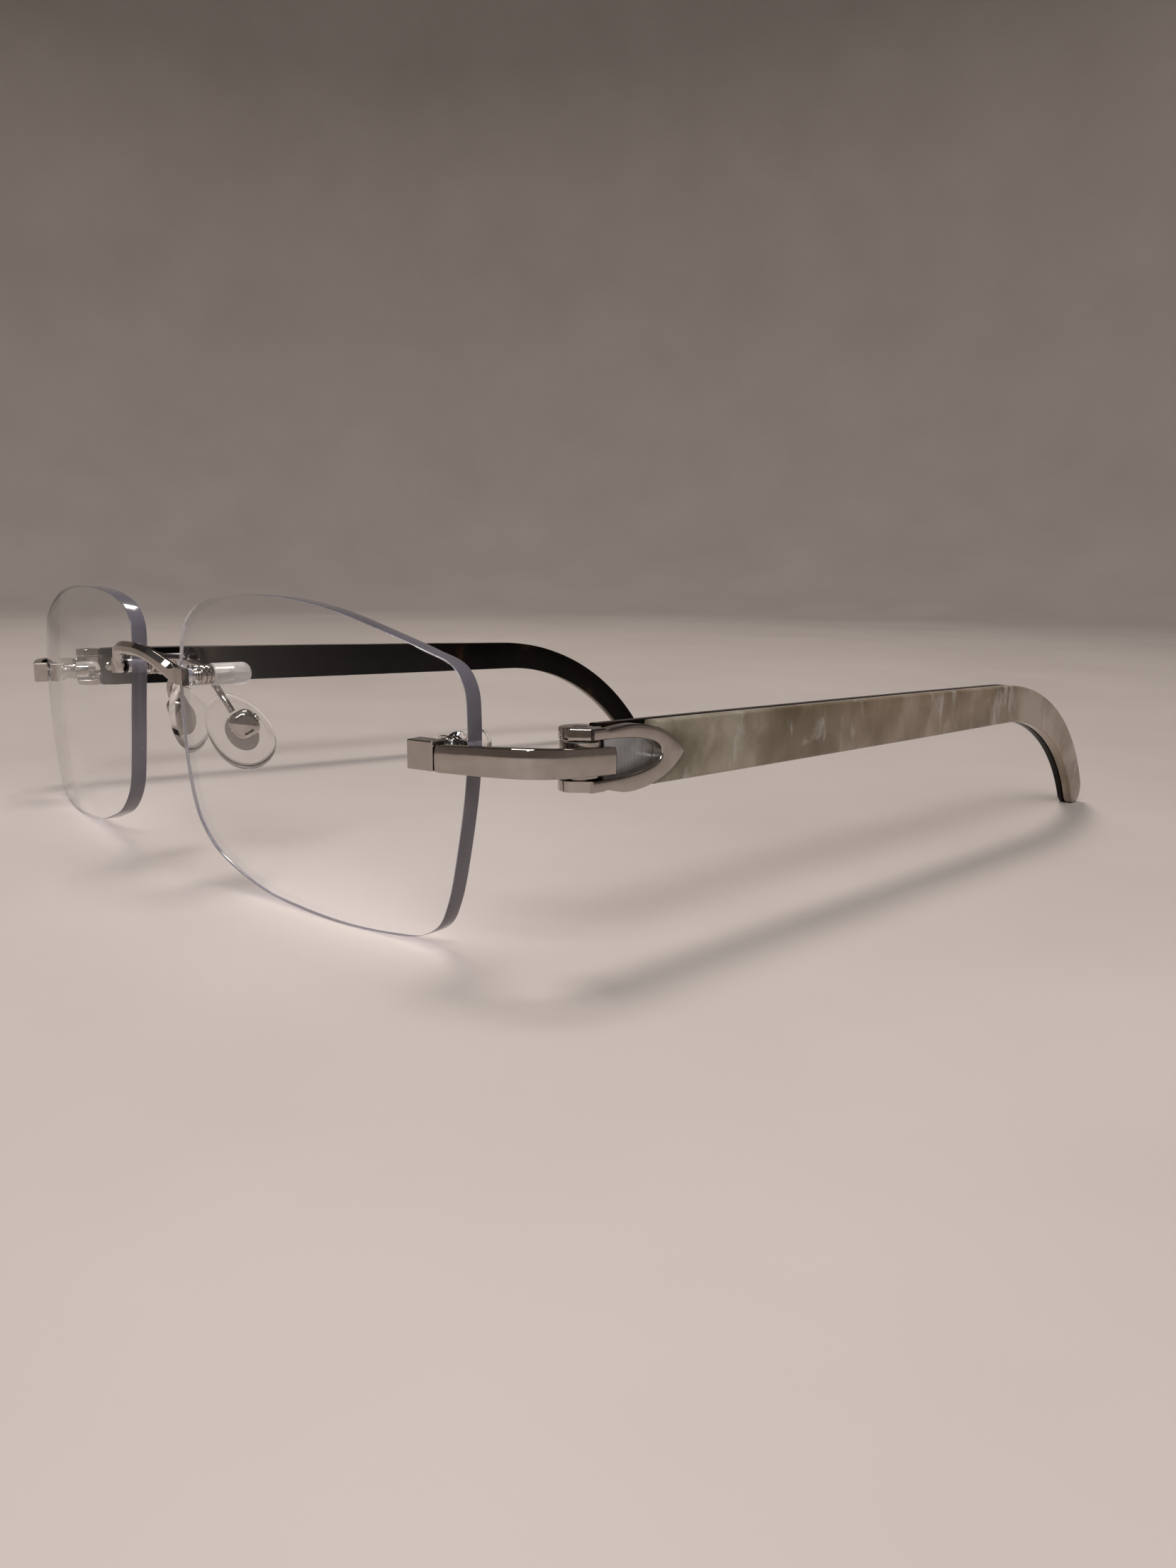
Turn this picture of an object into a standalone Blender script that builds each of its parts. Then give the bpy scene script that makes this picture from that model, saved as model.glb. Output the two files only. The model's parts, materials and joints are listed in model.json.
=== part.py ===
"""Rimless eyeglasses with laminated horn temples, built in metres, +Z up.

The wearer looks along -Y, so the temples run back along +Y and the wearer's
left side is +X. Lens bottoms and temple tips stand on z = 0. Every piece is
shaped for the left side in millimetres and mirrored for the right side.
"""
import math

import bpy
import numpy as np
from mathutils import Vector

MM = 0.001

# lenses
LENS_CENTRE_X = 34.0
WRAP = math.radians(6.6)          # turn of each lens about the vertical
BASE_RADIUS = 152.0               # front surface curve
LENS_THICKNESS = 2.1
# edge points of the wearer's left lens, outward and up from its centre
LENS_EDGE = ((26.85, 0.0), (26.9, 6.0), (26.4, 9.2), (24.9, 11.3), (21.2, 12.7), (15.0, 14.5), (8.2, 16.2),
             (1.5, 17.2), (-6.0, 17.6), (-13.5, 17.35), (-19.5, 16.5), (-23.6, 15.0), (-25.7, 12.7),
             (-26.3, 9.0), (-25.9, 2.0), (-24.9, -5.0), (-23.1, -10.5), (-19.3, -14.2), (-14.0, -16.3),
             (-7.5, -17.9), (0.0, -18.65), (7.5, -18.95), (14.5, -18.65), (19.3, -18.0), (22.3, -16.4),
             (23.9, -13.6), (25.5, -8.0))

# drilled mountings: distance from the middle plane, height
NASAL_MOUNT = (9.4, 25.9)
TEMPORAL_MOUNT = (56.4, 21.4)
LENS_HOLE_R = 0.95
STUD_R = 0.7

# end piece and hinge
HINGE_X, HINGE_Y, HINGE_Z = 67.0, 14.8, 21.1
BLOCK_WIDTH, BLOCK_HEIGHT, BLOCK_FRONT = 3.3, 3.05, 2.25
BAR_THICKNESS, BAR_HALF, BAR_TAPER = 1.25, 1.5, 0.12
BAR_SINK, BAR_ARCH = 0.23, 0.35   # middle line of the bar: drop at its ends, rise between them
BAR_OUT = 2.7                     # bar's outer face, outward of the hinge axis
TONGUE_END = 2.75                 # bar's end, behind the hinge axis
BARREL_R, BARREL_HALF = 2.1, 1.93
EAR_R, EAR_HALF = 2.2, 3.25
EAR_FLAT, EAR_FLAT_TURN = 1.86, math.radians(-44.0)    # flat on each ear: distance from the axis, direction
RAIL_FRONT, RAIL_NECK = -0.5, 1.15
FORK_HALF, WINDOW_HALF = 3.6, 2.05
WAIST_HALF = 3.12
RING_SAG = 0.2                    # the ring hangs lower than the hinge's middle
PLATE_FRONT = 2.25                # front of the window plate and the inner layer
OUTER_FRONT = 9.2                 # front of the outer layer
FORK_IN, FORK_OUT = 1.25, 2.6
FORK_TIP, WINDOW_END = 13.35, 9.7
SCREW_R = 0.65

# temples
TOE_IN = math.radians(1.6)        # inward lean of an open temple
RIGHT_FOLD = math.radians(6.0)    # the right temple stands partly folded
TEMPLE_DROP = math.radians(0.5)
BEND_START, BEND_RADIUS = 90.0, 42.0
TEMPLE_HALF = ((0.0, 3.42), (20.0, 3.38), (66.0, 3.12), (90.0, 2.9), (104.0, 2.6), (140.0, 2.15))
TIP_INWARD = 1.8
LAYER_IN, LAYER_MID, LAYER_OUT = -1.0, 0.3, 2.2
LAYER_GAP = 0.04

# bridge and nose pads
BRIDGE_PATH = ((0.0, -3.75, 29.0), (2.6, -3.65, 28.95), (5.0, -3.3, 28.45), (7.0, -2.65, 27.45),
               (8.5, -1.9, 26.45), (9.7, -1.52, 26.0), (11.4, -1.47, 25.9))
BRIDGE_HALF = ((0.0, 0.75, 0.82), (5.0, 0.75, 0.82), (8.5, 0.65, 1.0), (9.7, 0.5, 1.08), (11.4, 0.48, 1.08))
ARM_PATH = ((5.3, -2.22, 28.1), (5.05, -0.3, 28.0), (5.1, 2.0, 27.6), (5.6, 4.3, 26.6), (7.3, 5.2, 24.65),
            (9.5, 5.4, 22.85))
ARM_R = 0.42
PAD_CENTRE = (8.3, 8.0, 18.1)
PAD_UP = (-0.25, -0.45, 0.857)
PAD_BACK = (0.343, 0.786, 0.512)
PAD_LENGTH, PAD_WIDTH, PAD_THICK = 11.0, 7.6, 2.2
PAD_BOX_AT = (0.65, 1.06)         # box centre along the pad's length and width
PAD_PLATE_AT = (-0.25, 0.2)
PAD_PLATE = (2.55, 1.9)
PAD_BOX = (3.7, 3.4, 2.1)
PAD_SCREW_R = 0.35
CORNERS = ((-1, -1), (1, -1), (1, 1), (-1, 1))

METAL = (0.74, 0.72, 0.70)
COLOURS = {
    "lens": ((0.86, 0.88, 0.93), 0.0, 0.03, 0.3),
    "clear": ((0.90, 0.89, 0.87), 0.0, 0.15, 0.45),
    "metal": (METAL, 1.0, 0.12, 1.0),
    "brushed": ((0.52, 0.55, 0.58), 1.0, 0.4, 1.0),
    "pale_horn": ((0.64, 0.63, 0.54), 0.0, 0.25, 1.0),
    "dark_horn": ((0.035, 0.027, 0.024), 0.0, 0.2, 1.0),
}


def clear_scene():
    for ob in list(bpy.data.objects):
        bpy.data.objects.remove(ob, do_unlink=True)


def material(name, kind):
    mat = bpy.data.materials.new(name)
    mat.use_nodes = True
    colour, metallic, rough, alpha = COLOURS[kind]
    bsdf = mat.node_tree.nodes["Principled BSDF"]
    bsdf.inputs["Base Color"].default_value = (*colour, 1.0)
    bsdf.inputs["Metallic"].default_value = metallic
    bsdf.inputs["Roughness"].default_value = rough
    bsdf.inputs["Alpha"].default_value = alpha
    return mat


def unit(v):
    v = np.asarray(v, float)
    return v / np.linalg.norm(v)


class Shape:
    """Vertices in left-side millimetres plus faces."""

    def __init__(self, verts, faces):
        self.verts = np.asarray(verts, float)
        self.faces = [list(f) for f in faces]

    def at(self, place):
        return Shape([place(p) for p in self.verts], self.faces)


def loft(sections):
    """Closed solid through equal rings of points, capped at both ends."""
    n = len(sections[0])
    verts = [p for ring in sections for p in ring]
    faces = []
    for i in range(len(sections) - 1):
        for j in range(n):
            k = (j + 1) % n
            faces.append((i * n + j, i * n + k, (i + 1) * n + k, (i + 1) * n + j))
    faces.append(list(range(n))[::-1])
    faces.append([(len(sections) - 1) * n + j for j in range(n)])
    return Shape(verts, faces)


def revolve(profile, origin, axis, segments=16):
    """Turn (radius, distance) pairs about an axis; a zero radius makes a pole."""
    axis = unit(axis)
    side = unit(np.cross(axis, (0.0, 0.0, 1.0)) if abs(axis[2]) < 0.9 else np.cross(axis, (1.0, 0, 0)))
    other = np.cross(axis, side)
    origin = np.asarray(origin, float)
    verts, rows = [], []
    for radius, along in profile:
        if radius == 0.0:
            rows.append([len(verts)] * segments)
            verts.append(origin + axis * along)
            continue
        rows.append(list(range(len(verts), len(verts) + segments)))
        for k in range(segments):
            t = 2 * math.pi * k / segments
            verts.append(origin + axis * along + radius * (math.cos(t) * side + math.sin(t) * other))
    pairs = list(zip(rows, rows[1:]))
    if profile[0][0] > 0.0 and profile[-1][0] > 0.0:
        pairs.append((rows[-1], rows[0]))
    faces = []
    for low, high in pairs:
        for k in range(segments):
            m = (k + 1) % segments
            ring = [low[k], low[m], high[m], high[k]]
            faces.append(list(dict.fromkeys(ring)))
    return Shape(verts, faces)


def through_hole(radius, origin, axis, reach=6.0, segments=20):
    """Cutter for a round hole, reaching both ways from the origin."""
    return revolve([(0.0, -reach), (radius, -reach), (radius, reach), (0.0, reach)], origin, axis, segments)


def rounded_rectangle(half_a, half_b, corner, steps=2):
    points = []
    for ca, cb, start in ((1, 1, 0), (-1, 1, 90), (-1, -1, 180), (1, -1, 270)):
        for k in range(steps + 1):
            t = math.radians(start + 90.0 * k / steps)
            points.append((ca * (half_a - corner) + corner * math.cos(t),
                           cb * (half_b - corner) + corner * math.sin(t)))
    return points


def slab(outline, low, high, edge=0.0, crown=0.0):
    """Solid between two levels over a plane outline, its rims bevelled by edge."""
    middle = np.mean(outline, axis=0)
    rings = []
    size = np.abs(np.asarray(outline) - middle).max()
    for level, shrink in ((low, edge), (low + edge, 0.0), (high - edge, 0.0), (high, edge)):
        scale = 1.0 - shrink / size
        rings.append([(*(middle + (np.asarray(p) - middle) * scale), level) for p in outline])
    if edge == 0.0:
        rings = [rings[0], rings[-1]]
    if crown:
        top = rings[-1]
        rings.append([(*(middle + (np.asarray(p[:2]) - middle) * 0.55), high + crown) for p in top])
    return loft(rings)


# ---------------------------------------------------------------- placing pieces

def orient(ob):
    """Make the closed mesh face outward."""
    mesh = ob.data
    volume = sum(mesh.vertices[f.vertices[0]].co.dot(
        (mesh.vertices[f.vertices[i]].co).cross(mesh.vertices[f.vertices[i + 1]].co))
        for f in mesh.polygons for i in range(1, len(f.vertices) - 1))
    if volume < 0.0:
        mesh.flip_normals()


def raw_object(name, shape, side, smooth=True):
    verts = [(side * x * MM, y * MM, z * MM) for x, y, z in shape.verts]
    mesh = bpy.data.meshes.new(name)
    mesh.from_pydata(verts, [], shape.faces)
    mesh.update()
    ob = bpy.data.objects.new(name, mesh)
    bpy.context.scene.collection.objects.link(ob)
    orient(ob)
    if smooth:
        mesh.shade_smooth()
    return ob


def combine(ob, tools, side):
    """Apply boolean steps ("UNION" or "DIFFERENCE", shape) and bake the result."""
    made = []
    for index, (operation, shape) in enumerate(tools):
        tool = raw_object(f"{ob.name}_tool{index}", shape, side)
        tool.hide_render = True
        tool.display_type = "WIRE"
        step = ob.modifiers.new(f"step{index}", "BOOLEAN")
        step.operation = operation
        step.solver = "EXACT"
        step.object = tool
        made.append(tool)
    bpy.context.view_layer.update()
    graph = bpy.context.evaluated_depsgraph_get()
    result = bpy.data.meshes.new_from_object(ob.evaluated_get(graph))
    ob.modifiers.clear()
    ob.data = result
    for tool in made:
        bpy.data.objects.remove(tool, do_unlink=True)


def piece(name, shape, kind, side, tools=(), smooth=True):
    ob = raw_object(name, shape, side, smooth)
    if tools:
        combine(ob, tools, side)
    mesh = ob.data
    mesh.materials.clear()
    mesh.materials.append(material(name, kind))
    mesh.name = name
    if smooth:
        mesh.set_sharp_from_angle(angle=math.radians(35))
    return ob


def put_origin(ob, point):
    """Move the object's origin to a point without moving its mesh."""
    shift = Vector(point)
    for vert in ob.data.vertices:
        vert.co -= shift
    ob.location = shift


# ---------------------------------------------------------------- lens geometry

def lens_edge(count):
    """Points spaced evenly round the smooth closed curve through the edge points."""
    pts = np.array(LENS_EDGE)
    dense = []
    for k in range(len(pts)):
        a, b, c, d = (pts[(k + i) % len(pts)] for i in (-1, 0, 1, 2))
        ta = 0.0
        tb = ta + math.sqrt(np.linalg.norm(b - a))
        tc = tb + math.sqrt(np.linalg.norm(c - b))
        td = tc + math.sqrt(np.linalg.norm(d - c))
        for t in np.linspace(tb, tc, 12, endpoint=False):
            ab = a + (b - a) * (t - ta) / (tb - ta)
            bc = b + (c - b) * (t - tb) / (tc - tb)
            cd = c + (d - c) * (t - tc) / (td - tc)
            abc = ab + (bc - ab) * (t - ta) / (tc - ta)
            bcd = bc + (cd - bc) * (t - tb) / (td - tb)
            dense.append(abc + (bcd - abc) * (t - tb) / (tc - tb))
    dense = np.array(dense + [dense[0]])
    run = np.concatenate(([0.0], np.cumsum(np.linalg.norm(np.diff(dense, axis=0), axis=1))))
    at = np.linspace(0.0, run[-1], count, endpoint=False)
    return np.stack([np.interp(at, run, dense[:, 0]), np.interp(at, run, dense[:, 1])], 1)


LENS_CENTRE_Z = -lens_edge(400)[:, 1].min()
ACROSS = np.array((math.cos(WRAP), math.sin(WRAP), 0.0))
BACK = np.array((-math.sin(WRAP), math.cos(WRAP), 0.0))
UP = np.array((0.0, 0.0, 1.0))


def lens_point(u, v, depth=0.0):
    sag = BASE_RADIUS - math.sqrt(BASE_RADIUS ** 2 - u * u - v * v)
    return np.array((LENS_CENTRE_X, 0.0, LENS_CENTRE_Z)) + u * ACROSS + v * UP + (sag + depth) * BACK


def mount_frame(mount):
    """Point on the lens front and the local tangent, and the direction back through it."""
    x, z = mount
    u = (x - LENS_CENTRE_X) / math.cos(WRAP)
    for _ in range(8):
        u += (x - lens_point(u, z - LENS_CENTRE_Z)[0]) / math.cos(WRAP)
    v = z - LENS_CENTRE_Z
    centre = np.array((LENS_CENTRE_X, 0.0, LENS_CENTRE_Z)) + BASE_RADIUS * BACK
    point = lens_point(u, v)
    back = centre - point
    back[2] = 0.0
    back = unit(back)
    return point, np.array((back[1], -back[0], 0.0)), back


def lens_shape(count=72, rings=3):
    bevel = 0.15
    edge = lens_edge(count)
    inward = edge / np.linalg.norm(edge, axis=1, keepdims=True) * bevel
    inner = [(edge * k / rings, 0.0) for k in range(1, rings)]
    layers = inner + [(edge - inward, 0.0), (edge, bevel), (edge, LENS_THICKNESS - bevel),
                      (edge - inward, LENS_THICKNESS)] + [(ring, LENS_THICKNESS) for ring, _ in inner[::-1]]
    verts, rows = [lens_point(0.0, 0.0)], []
    for ring, depth in layers:
        rows.append(range(len(verts), len(verts) + count))
        verts += [lens_point(u, v, depth) for u, v in ring]
    last = len(verts)
    verts.append(lens_point(0.0, 0.0, LENS_THICKNESS))
    faces = []
    for k in range(count):
        m = (k + 1) % count
        faces.append((0, rows[0][k], rows[0][m]))
        faces.append((last, rows[-1][m], rows[-1][k]))
        for low, high in zip(rows, rows[1:]):
            faces.append((low[k], high[k], high[m], low[m]))
    return Shape(verts, faces)


# ---------------------------------------------------------------- small hardware

def stud_set(side, tag, mount, front_gap, tail, flange, nut, cap):
    """Stud, clear bushing, nut and cap on one drilled hole. flange, nut and cap are (radius, length)."""
    point, _, back = mount_frame(mount)
    rear = LENS_THICKNESS + 0.13
    nut_from = rear + flange[1] + 0.05
    cap_from = nut_from + nut[1] + 0.05
    piece(f"{tag}_stud", revolve(
        [(0.0, -front_gap), (STUD_R, -front_gap), (STUD_R, tail - 0.2), (STUD_R - 0.2, tail), (0.0, tail)],
        point, back, 16), "metal", side)
    inner, sleeve = STUD_R + 0.06, LENS_HOLE_R - 0.05
    piece(f"{tag}_bushing", revolve(
        [(inner, 0.1), (sleeve, 0.1), (sleeve, rear), (flange[0], rear), (flange[0], rear + flange[1]),
         (inner, rear + flange[1])], point, back), "clear", side)
    groove = 0.18
    end = nut_from + nut[1]
    third = nut[1] / 3.0
    profile = [(inner, nut_from), (nut[0] - 0.1, nut_from), (nut[0], nut_from + 0.1)]
    for step in (1, 2):
        at = nut_from + third * step
        profile += [(nut[0], at - 0.15), (nut[0] - groove, at - 0.08)]
        profile += [(nut[0] - groove, at + 0.08), (nut[0], at + 0.15)]
    profile += [(nut[0], end - 0.1), (nut[0] - 0.1, end), (inner, end)]
    piece(f"{tag}_nut", revolve(profile, point, back), "metal", side)
    floor = tail + 0.1
    profile = [(inner, cap_from), (cap[0] - 0.15, cap_from), (cap[0], cap_from + 0.15)]
    finish = cap_from + cap[1]
    for k in range(5):
        t = math.radians(90.0 * k / 4)
        profile.append((cap[0] * math.cos(t) if k < 4 else 0.0,
                        finish - 0.75 * cap[0] + 0.75 * cap[0] * math.sin(t)))
    profile += [(0.0, floor), (inner, floor)]
    shape = revolve_open(profile, point, back)
    piece(f"{tag}_cap", shape, "clear", side)


def revolve_open(profile, origin, axis, segments=16):
    """Revolve a closed section that touches the axis twice: a cup with a blind bore."""
    shape = revolve(profile + [profile[0]], origin, axis, segments)
    count = len(shape.verts)
    keep = count - segments
    last = {keep + k: k for k in range(segments)}
    faces = []
    for face in shape.faces:
        ring = list(dict.fromkeys(last.get(i, i) for i in face))
        if len(ring) > 2:
            faces.append(ring)
    return Shape(shape.verts[:keep], faces)


# ---------------------------------------------------------------- end piece

def bezier(a, b, c, d, t):
    a, b, c, d = (np.asarray(p, float) for p in (a, b, c, d))
    return (1 - t) ** 3 * a + 3 * (1 - t) ** 2 * t * b + 3 * (1 - t) * t * t * c + t ** 3 * d


def end_block():
    point, along, back = mount_frame(TEMPORAL_MOUNT)
    outline = rounded_rectangle(BLOCK_WIDTH / 2, BLOCK_HEIGHT / 2, 0.18)
    shape = slab(outline, 0.12, BLOCK_FRONT, 0.15)
    return shape.at(lambda p: point + along * p[0] + UP * p[1] - back * p[2])


def end_bar(side, tag):
    """Curved bar from the block round to the tongue, with the hinge barrel inside it."""
    point, along, back = mount_frame(TEMPORAL_MOUNT)
    start = point + along * (BLOCK_WIDTH / 2 + 0.08) - back * (BLOCK_FRONT - 0.1)
    outer = HINGE_X + BAR_OUT
    bend_end = np.array((outer, HINGE_Y - 2.3, 0.0))
    handle_a = start + along * 9.0
    handle_b = bend_end - np.array((0.0, 5.5, 0.0))
    path = [bezier(start, handle_a, handle_b, bend_end, k / 14) for k in range(15)]
    path += [np.array((outer, HINGE_Y + y, 0.0)) for y in (0.0, TONGUE_END - 0.2, TONGUE_END)]
    sections = []
    for i, p in enumerate(path):
        tangent = unit((path[min(i + 1, len(path) - 1)] - path[max(i - 1, 0)]) * (1, 1, 0))
        outward = np.array((tangent[1], -tangent[0], 0.0))
        share = i / (len(path) - 1)
        outer_end = (2 * share - 1) ** 2
        half = BAR_HALF - BAR_TAPER * outer_end
        centre_z = TEMPORAL_MOUNT[1] + (HINGE_Z - TEMPORAL_MOUNT[1]) * share
        centre_z += BAR_ARCH * (1 - outer_end) - BAR_SINK
        ends = 0.08 if i == len(path) - 1 else 0.0
        ring = []
        for a, b in rounded_rectangle(BAR_THICKNESS / 2 - ends, half - ends, 0.16):
            q = p + outward * (a - BAR_THICKNESS / 2)
            ring.append((q[0], q[1], centre_z + b))
        sections.append(ring)
    hinge = (HINGE_X, HINGE_Y, HINGE_Z)
    barrel = revolve([(0.0, -BARREL_HALF), (BARREL_R - 0.1, -BARREL_HALF), (BARREL_R, -BARREL_HALF + 0.1),
                      (BARREL_R, BARREL_HALF - 0.1), (BARREL_R - 0.1, BARREL_HALF), (0.0, BARREL_HALF)],
                     hinge, UP, 24)
    bore = through_hole(SCREW_R + 0.06, hinge, UP)
    piece(f"{tag}_end_bar", loft(sections), "metal", side, [("UNION", barrel), ("DIFFERENCE", bore)])


# ---------------------------------------------------------------- temple body

def temple_place(fold):
    """Map (outward, back, up) from the hinge axis into the left-side frame."""
    turn = TOE_IN + fold
    outward = np.array((math.cos(turn), math.sin(turn), 0.0))
    along = np.array((-math.sin(turn), math.cos(turn), 0.0))
    origin = np.array((HINGE_X, HINGE_Y, HINGE_Z))
    return lambda p: origin + outward * p[0] + along * p[1] + UP * p[2]


def half_height(s):
    return float(np.interp(s, *zip(*TEMPLE_HALF)))


def temple_track(start, step=6.0):
    """Centre line as (arc length, back, up, direction) from a start distance to the tip."""
    tip_r = half_height(140.0)
    run = list(np.arange(start, BEND_START - 1.0, 16.0)) + [BEND_START]
    track = [(s, s, -math.tan(TEMPLE_DROP) * s, TEMPLE_DROP) for s in run]
    base_y, base_z = BEND_START, -math.tan(TEMPLE_DROP) * BEND_START
    sin0, cos0 = math.sin(TEMPLE_DROP), math.cos(TEMPLE_DROP)
    fall = HINGE_Z + base_z - tip_r
    end = math.acos(cos0 - fall / BEND_RADIUS)
    count = math.ceil(BEND_RADIUS * (end - TEMPLE_DROP) / step)
    for k in range(1, count + 1):
        t = TEMPLE_DROP + (end - TEMPLE_DROP) * k / count
        track.append((BEND_START + BEND_RADIUS * (t - TEMPLE_DROP),
                      base_y + BEND_RADIUS * (math.sin(t) - sin0),
                      base_z - BEND_RADIUS * (cos0 - math.cos(t)), t))
    last = track[-1]
    for k in (1, 2, 3, 4):
        d = tip_r * math.sin(math.radians(21.0 * k))
        track.append((last[0] + d, last[1] + d * math.cos(last[3]), last[2] - d * math.sin(last[3]), last[3]))
    return track, last[0], tip_r


def temple_layer(start, low, high):
    """One laminate of the temple between two outward distances."""
    track, round_from, tip_r = temple_track(start)
    sections = []
    for s, back, up, lean in track:
        half = half_height(s)
        if s > round_from:
            half = math.sqrt(max(tip_r ** 2 - (s - round_from) ** 2, 0.04))
        bent = max(0.0, s - BEND_START) / (round_from - BEND_START)
        thin = 1.0 - 0.22 * bent
        middle, thick = (low + high) / 2 * thin - TIP_INWARD * bent ** 2, (high - low) / 2 * thin
        ring = []
        for a, b in rounded_rectangle(thick, half, 0.3 * thick):
            ring.append((middle + a, back + b * math.sin(lean), up + b * math.cos(lean)))
        sections.append(ring)
    return loft(sections)


def fork_outline(count=11):
    """Pairs of (outer, inner) points along one rail of the fork, from the ear to the pointed rear."""
    ear_end, ring_from = 1.25, 1.75
    outer = [(RAIL_FRONT, EAR_HALF), (RAIL_NECK, EAR_HALF)]
    outer += [(ear_end, EAR_HALF - 0.05), (ring_from, WAIST_HALF)]
    inner = [(y, WINDOW_HALF) for y, _ in outer]
    for k in range(1, count):
        t = k / (count - 1)
        back = ring_from + (FORK_TIP - ring_from) * t ** 0.85
        rise = FORK_HALF * (1 - t ** 2.7) ** 0.85
        if t < 0.28:
            rise = FORK_HALF - (FORK_HALF - WAIST_HALF) * (1 - t / 0.28) ** 2
        a = math.radians(90.0 * t)
        outer.append((back, rise))
        inner.append((ring_from + (WINDOW_END - ring_from) * math.sin(a), WINDOW_HALF * math.cos(a) ** 0.8))
    inner[-1] = (WINDOW_END, 0.0)
    return outer, inner


def ring_drop(back):
    return RING_SAG * min(max((back - RAIL_NECK) / 3.0, 0.0), 1.0)


def fork_shape():
    """The fork without its ears: two rails that meet in a pointed ring."""
    outer, inner = fork_outline()
    half = [(o, i) for o, i in zip(outer, inner)]
    stations = [(o, i, -1) for o, i in half] + [(o, i, 1) for o, i in half[-2::-1]]
    sections = []
    for (oy, oz), (iy, iz), sign in stations:
        low, high = FORK_IN, FORK_OUT
        if oy <= RAIL_NECK:
            low = 0.9
        edge = 0.22
        foot, crest = sign * iz, sign * oz - ring_drop(oy)
        dy, dz = oy - iy, crest - foot
        size = math.hypot(dy, dz)
        ring = [(low, iy, foot), (high - edge, iy, foot),
                (high, iy + dy * edge / size, foot + dz * edge / size),
                (high, oy - dy * edge / size, crest - dz * edge / size),
                (high - edge, oy, crest), (low, oy, crest)]
        sections.append(ring)
    return loft(sections)


def ear_shape(sign, count=36):
    """Round ear about the hinge axis, above or below the barrel, with a flat that faces forward."""
    bevel = 0.12
    sections = []
    for radius, level in ((EAR_R, WINDOW_HALF), (EAR_R, EAR_HALF - bevel), (EAR_R - bevel, EAR_HALF)):
        ring = []
        for k in range(count):
            t = 2 * math.pi * k / count
            reach = min(radius, (EAR_FLAT + radius - EAR_R) / max(math.cos(t - EAR_FLAT_TURN), 0.1))
            ring.append((reach * math.cos(t), reach * math.sin(t), sign * level))
        sections.append(ring)
    return loft(sections)


def ogive_outline(grow):
    outer, _ = fork_outline()
    rail = outer[4:-1]
    upper = [(y, z + grow - ring_drop(y)) for y, z in rail]
    lower = [(y, -z - grow - ring_drop(y)) for y, z in rail]
    return upper + [(FORK_TIP + grow, -RING_SAG)] + lower[::-1]


def plate_outline(grow=0.0):
    points = [(PLATE_FRONT, -2.35 - grow)]
    for k in range(9):
        a = math.radians(-90.0 + 180.0 * k / 8)
        points.append((6.9 + (3.2 + grow) * math.cos(a), (2.5 + grow) * math.sin(a)))
    return points + [(PLATE_FRONT, 2.35 + grow)]


def temple(side, tag, fold):
    place = temple_place(fold)
    flat = lambda p: place((p[2], p[0], p[1]))
    rivets = [(3.6, 0.0), (7.6, 0.0)]
    hole = through_hole(SCREW_R + 0.04, (0, 0, 0), UP)
    made = [piece(f"{tag}_hinge_fork", fork_shape().at(place), "metal", side,
                  [("UNION", ear_shape(1).at(place)), ("UNION", ear_shape(-1).at(place)),
                   ("DIFFERENCE", hole.at(place))])]
    head = [(0.0, -EAR_HALF + 0.02), (SCREW_R, -EAR_HALF + 0.02), (SCREW_R, EAR_HALF - 0.1),
            (SCREW_R - 0.15, EAR_HALF - 0.02), (0.0, EAR_HALF - 0.02)]
    made.append(piece(f"{tag}_hinge_screw", revolve(head, (0, 0, 0), UP, 20).at(place), "metal", side))
    plate = slab(plate_outline(), LAYER_MID + LAYER_GAP, FORK_IN - LAYER_GAP)
    made.append(piece(f"{tag}_window_plate", plate.at(flat), "brushed", side))
    pocket = slab(ogive_outline(0.06), FORK_IN - LAYER_GAP, 6.0)
    slot = slab(plate_outline(0.06), -3.0, 6.0)
    outer = temple_layer(OUTER_FRONT, LAYER_MID + LAYER_GAP, LAYER_OUT)
    made.append(piece(f"{tag}_temple_outer", outer.at(place), "pale_horn", side,
                      [("DIFFERENCE", pocket.at(flat)), ("DIFFERENCE", slot.at(flat))]))
    holes = [through_hole(0.56, (0.0, y, z), (1, 0, 0), 3.0, 14) for y, z in rivets]
    inner = temple_layer(PLATE_FRONT, LAYER_IN, LAYER_MID)
    made.append(piece(f"{tag}_temple_inner", inner.at(place), "dark_horn", side,
                      [("DIFFERENCE", h.at(place)) for h in holes]))
    for name, (y, z) in zip(("front", "back"), rivets):
        low = LAYER_IN - 0.04
        shape = revolve([(0.0, LAYER_MID - 0.02), (0.5, LAYER_MID - 0.02), (0.5, low), (0.95, low),
                         (0.85, low - 0.25), (0.5, low - 0.4), (0.0, low - 0.45)], (0.0, y, z), (1, 0, 0), 14)
        made.append(piece(f"{tag}_rivet_{name}", shape.at(place), "metal", side))
    for ob in made:
        put_origin(ob, (side * HINGE_X * MM, HINGE_Y * MM, HINGE_Z * MM))


# ---------------------------------------------------------------- bridge and pads

def curve_through(points, per_span):
    """Catmull-Rom points through a path."""
    pts = np.asarray(points, float)
    ends = np.vstack([2 * pts[0] - pts[1], pts, 2 * pts[-1] - pts[-2]])
    result = []
    for k in range(1, len(ends) - 2):
        a, b, c, d = ends[k - 1:k + 3]
        for j in range(per_span):
            t = j / per_span
            result.append(b + 0.5 * t * (c - a + t * (2 * a - 5 * b + 4 * c - d + t * (3 * (b - c) + d - a))))
    return result + [pts[-1]]


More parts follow.
